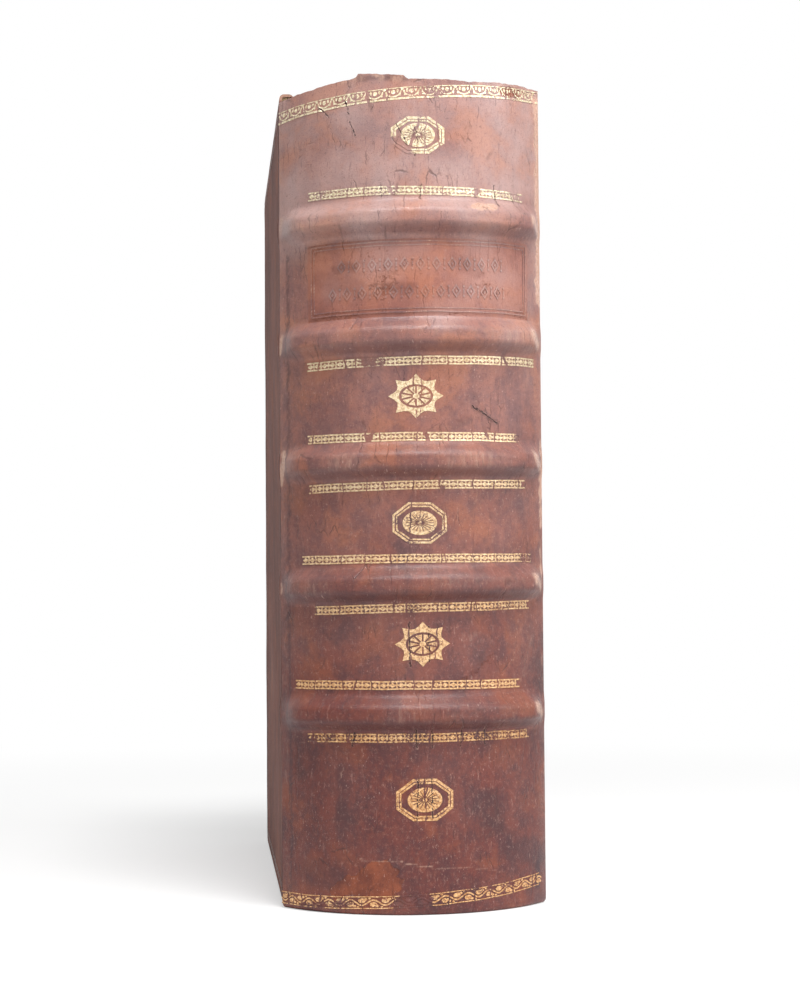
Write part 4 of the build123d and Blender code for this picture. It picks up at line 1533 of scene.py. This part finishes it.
stripes = tree.nodes.new("ShaderNodeValToRGB")
stripes.color_ramp.interpolation = "CONSTANT"
for number, (begins, paint) in enumerate(BATH):
    stop = stripes.color_ramp.elements[0] if number == 0 else stripes.color_ramp.elements.new(begins)
    stop.color = colour(*paint)
stripes.color_ramp.elements.remove(stripes.color_ramp.elements[-1])
tree.links.new(calc(tree, "FRACT", calc(tree, "DIVIDE", drawn, STRIPES)), stripes.inputs[0])
sheet = stripes.outputs[0]
age = cloud(tree, place, 22, 6, 0.6)
sheet = blend(tree, ramp(tree, age, 0.40, 0.70, 0.06, 0.4), sheet, colour(150, 118, 86))
fibres = cloud(tree, place, 1800, 4, 0.7)
sheet = blend(tree, ramp(tree, fibres, 0.55, 0.75, 0, 0.3), sheet, colour(196, 176, 144))
put(shader.inputs["Base Color"], sheet)
shader.inputs["Roughness"].default_value = 0.6
bump = {"Height": fibres, "Distance": 0.08 * MM, "Strength": 0.6}
put(shader.inputs["Normal"], node(tree, "ShaderNodeBump", bump))

# %% [markdown]
# ## Hemp, parchment and pasteboard
# The parts under the leather show at the head, the tail and the open joints. They are plain
# stuffs, so one rule serves them: two colours mixed by a noise with the stuff's own stretch,
# a second noise for stains, and relief from the first. Hemp gets its twist from a slanted
# stretch, and pasteboard its layers from a squeeze across the board.

# %% Finish the hidden stuffs
def stuff_finish(name, dark, pale, squeeze, scale, relief, turn=0.0):
    """A rough, two-coloured stuff."""
    finish, tree, shader = new_finish(name)
    place = object_place(tree)
    fibres = cloud(tree, stretch(tree, place, *squeeze, turn), scale, 5, 0.7)
    stains = cloud(tree, place, 60, 5, 0.6)
    paint = blend(tree, ramp(tree, fibres, 0.32, 0.68), dark, pale)
    paint = blend(tree, ramp(tree, stains, 0.5, 0.72, 0, 0.4), paint, dark)
    put(shader.inputs["Base Color"], paint)
    shader.inputs["Roughness"].default_value = 0.88
    shader.inputs["Specular IOR Level"].default_value = 0.2
    bump = {"Height": fibres, "Distance": relief, "Strength": 0.9}
    put(shader.inputs["Normal"], node(tree, "ShaderNodeBump", bump))
    return finish


finish_of_slot = {
    "cord": stuff_finish(
        "hemp_finish", colour(120, 98, 66), colour(190, 166, 122), (1, 0.3, 1.0), 1500, 0.5 * MM, 0.8),
    "parchment": stuff_finish(
        "parchment_finish", colour(172, 150, 112), colour(214, 198, 160), (1, 1, 1), 700, 0.1 * MM),
    "pasteboard": stuff_finish(
        "pasteboard_finish", colour(104, 84, 62), colour(158, 134, 102), (1, 0.12, 0.12), 2400, 0.3 * MM),
    "endpaper": endpaper_finish,
}
for part in frame["record"]["subparts"]:
    if part["material_slot"] in finish_of_slot:
        cad_node = bpy.data.objects[part["node"]]
        for held in cad_node.material_slots:
            held.material = finish_of_slot[part["material_slot"]]
        print(part["node"], [held.material.name for held in cad_node.material_slots])
for piece in hinge_papers:
    dress(piece, endpaper_finish)
for piece in joint_straps:
    dress(piece, cover_finish)

# %% [markdown]
# ## Floor and light
# The floor is plain and pale and keeps the book's shadow. A soft light hangs overhead and
# a little in front, so each band catches it on its upper side and shades the skin below it.
# A larger one stands at the right, and a weak one fills the front. To the camera and in
# reflections the world is white, and far from the book the floor is as bright as the world.

# %% Set the stage
start()
bpy.ops.mesh.primitive_grid_add(x_subdivisions=2, y_subdivisions=2, size=6, location=(0, 1.2, 0))
floor = settle("floor")
floor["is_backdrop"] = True
floor_finish, tree, shader = new_finish("floor_finish")
paper = blend(tree, cloud(tree, object_place(tree), 3), colour(250, 250, 249), colour(252, 252, 252))
put(shader.inputs["Base Color"], paper)
shader.inputs["Roughness"].default_value = 0.9
glow = node(tree, "ShaderNodeEmission", {"Color": (1, 1, 1, 1), "Strength": 1.0})
rays = tree.nodes.new("ShaderNodeLightPath")
away = node(tree, "ShaderNodeVectorMath", {0: object_place(tree)}, output=1, operation="LENGTH")
seen = calc(tree, "MULTIPLY", rays.outputs["Is Camera Ray"], ramp(tree, away, 0.15, 0.7, 0.5, 1.0))
mixed = node(tree, "ShaderNodeMixShader", {0: seen, 1: shader.outputs[0], 2: glow})
put(tree.nodes["Material Output"].inputs["Surface"], mixed)
dress(floor, floor_finish)
print("floor", [round(side, 1) for side in floor.dimensions], "m")

# %% [markdown]
# ## Light all round
# The world gives a weak light from everywhere, so that no shadow is black. Light Path lets
# the camera and reflections see it white while the book still gets only the weak light.
# Square lamps are the soft boxes of a studio: the larger they are, the softer the shadow.

# %% Light the stage
world = bpy.data.worlds.new("room")
bpy.context.scene.world = world
world.use_nodes = True
tree = world.node_tree
AMBIENT = 0.24
rays = tree.nodes.new("ShaderNodeLightPath")
seen = calc(tree, "ADD", rays.outputs["Is Camera Ray"], rays.outputs["Is Glossy Ray"])
seen = calc(tree, "MINIMUM", calc(tree, "ADD", seen, rays.outputs["Is Transmission Ray"]), 1.0)
strength = calc(tree, "MULTIPLY_ADD", seen, 1 - AMBIENT, AMBIENT)
put(tree.nodes["Background"].inputs["Strength"], strength)
put(tree.nodes["Background"].inputs["Color"], (1, 1, 1, 1))


def soft_light(name, place, aim, size, watts):
    """A square lamp at a place, turned to shine at a point."""
    start()
    bpy.ops.object.light_add(type="AREA", location=place)
    lamp = bpy.context.object
    lamp.name = name
    lamp.data.size = size
    lamp.data.energy = watts
    lamp.rotation_euler = (Vector(aim) - Vector(place)).to_track_quat("-Z", "Y").to_euler()
    print(name, size, "m wide,", watts, "watts")


soft_light("overhead_light", (0.10, -0.5, 1.1), (0, -0.1, 0.15), 0.35, 14)
soft_light("side_light", (1.15, -0.85, 0.75), (0, -0.08, 0.15), 0.8, 12)
soft_light("front_light", (-0.4, -1.7, 0.5), (0, 0, 0.12), 1.0, 2.5)
view = bpy.context.scene.view_settings
view.view_transform = "Standard"

# %% [markdown]
# ## Measure
# Last, the box that all finished pieces fill is measured.

# %% Finish
low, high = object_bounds()
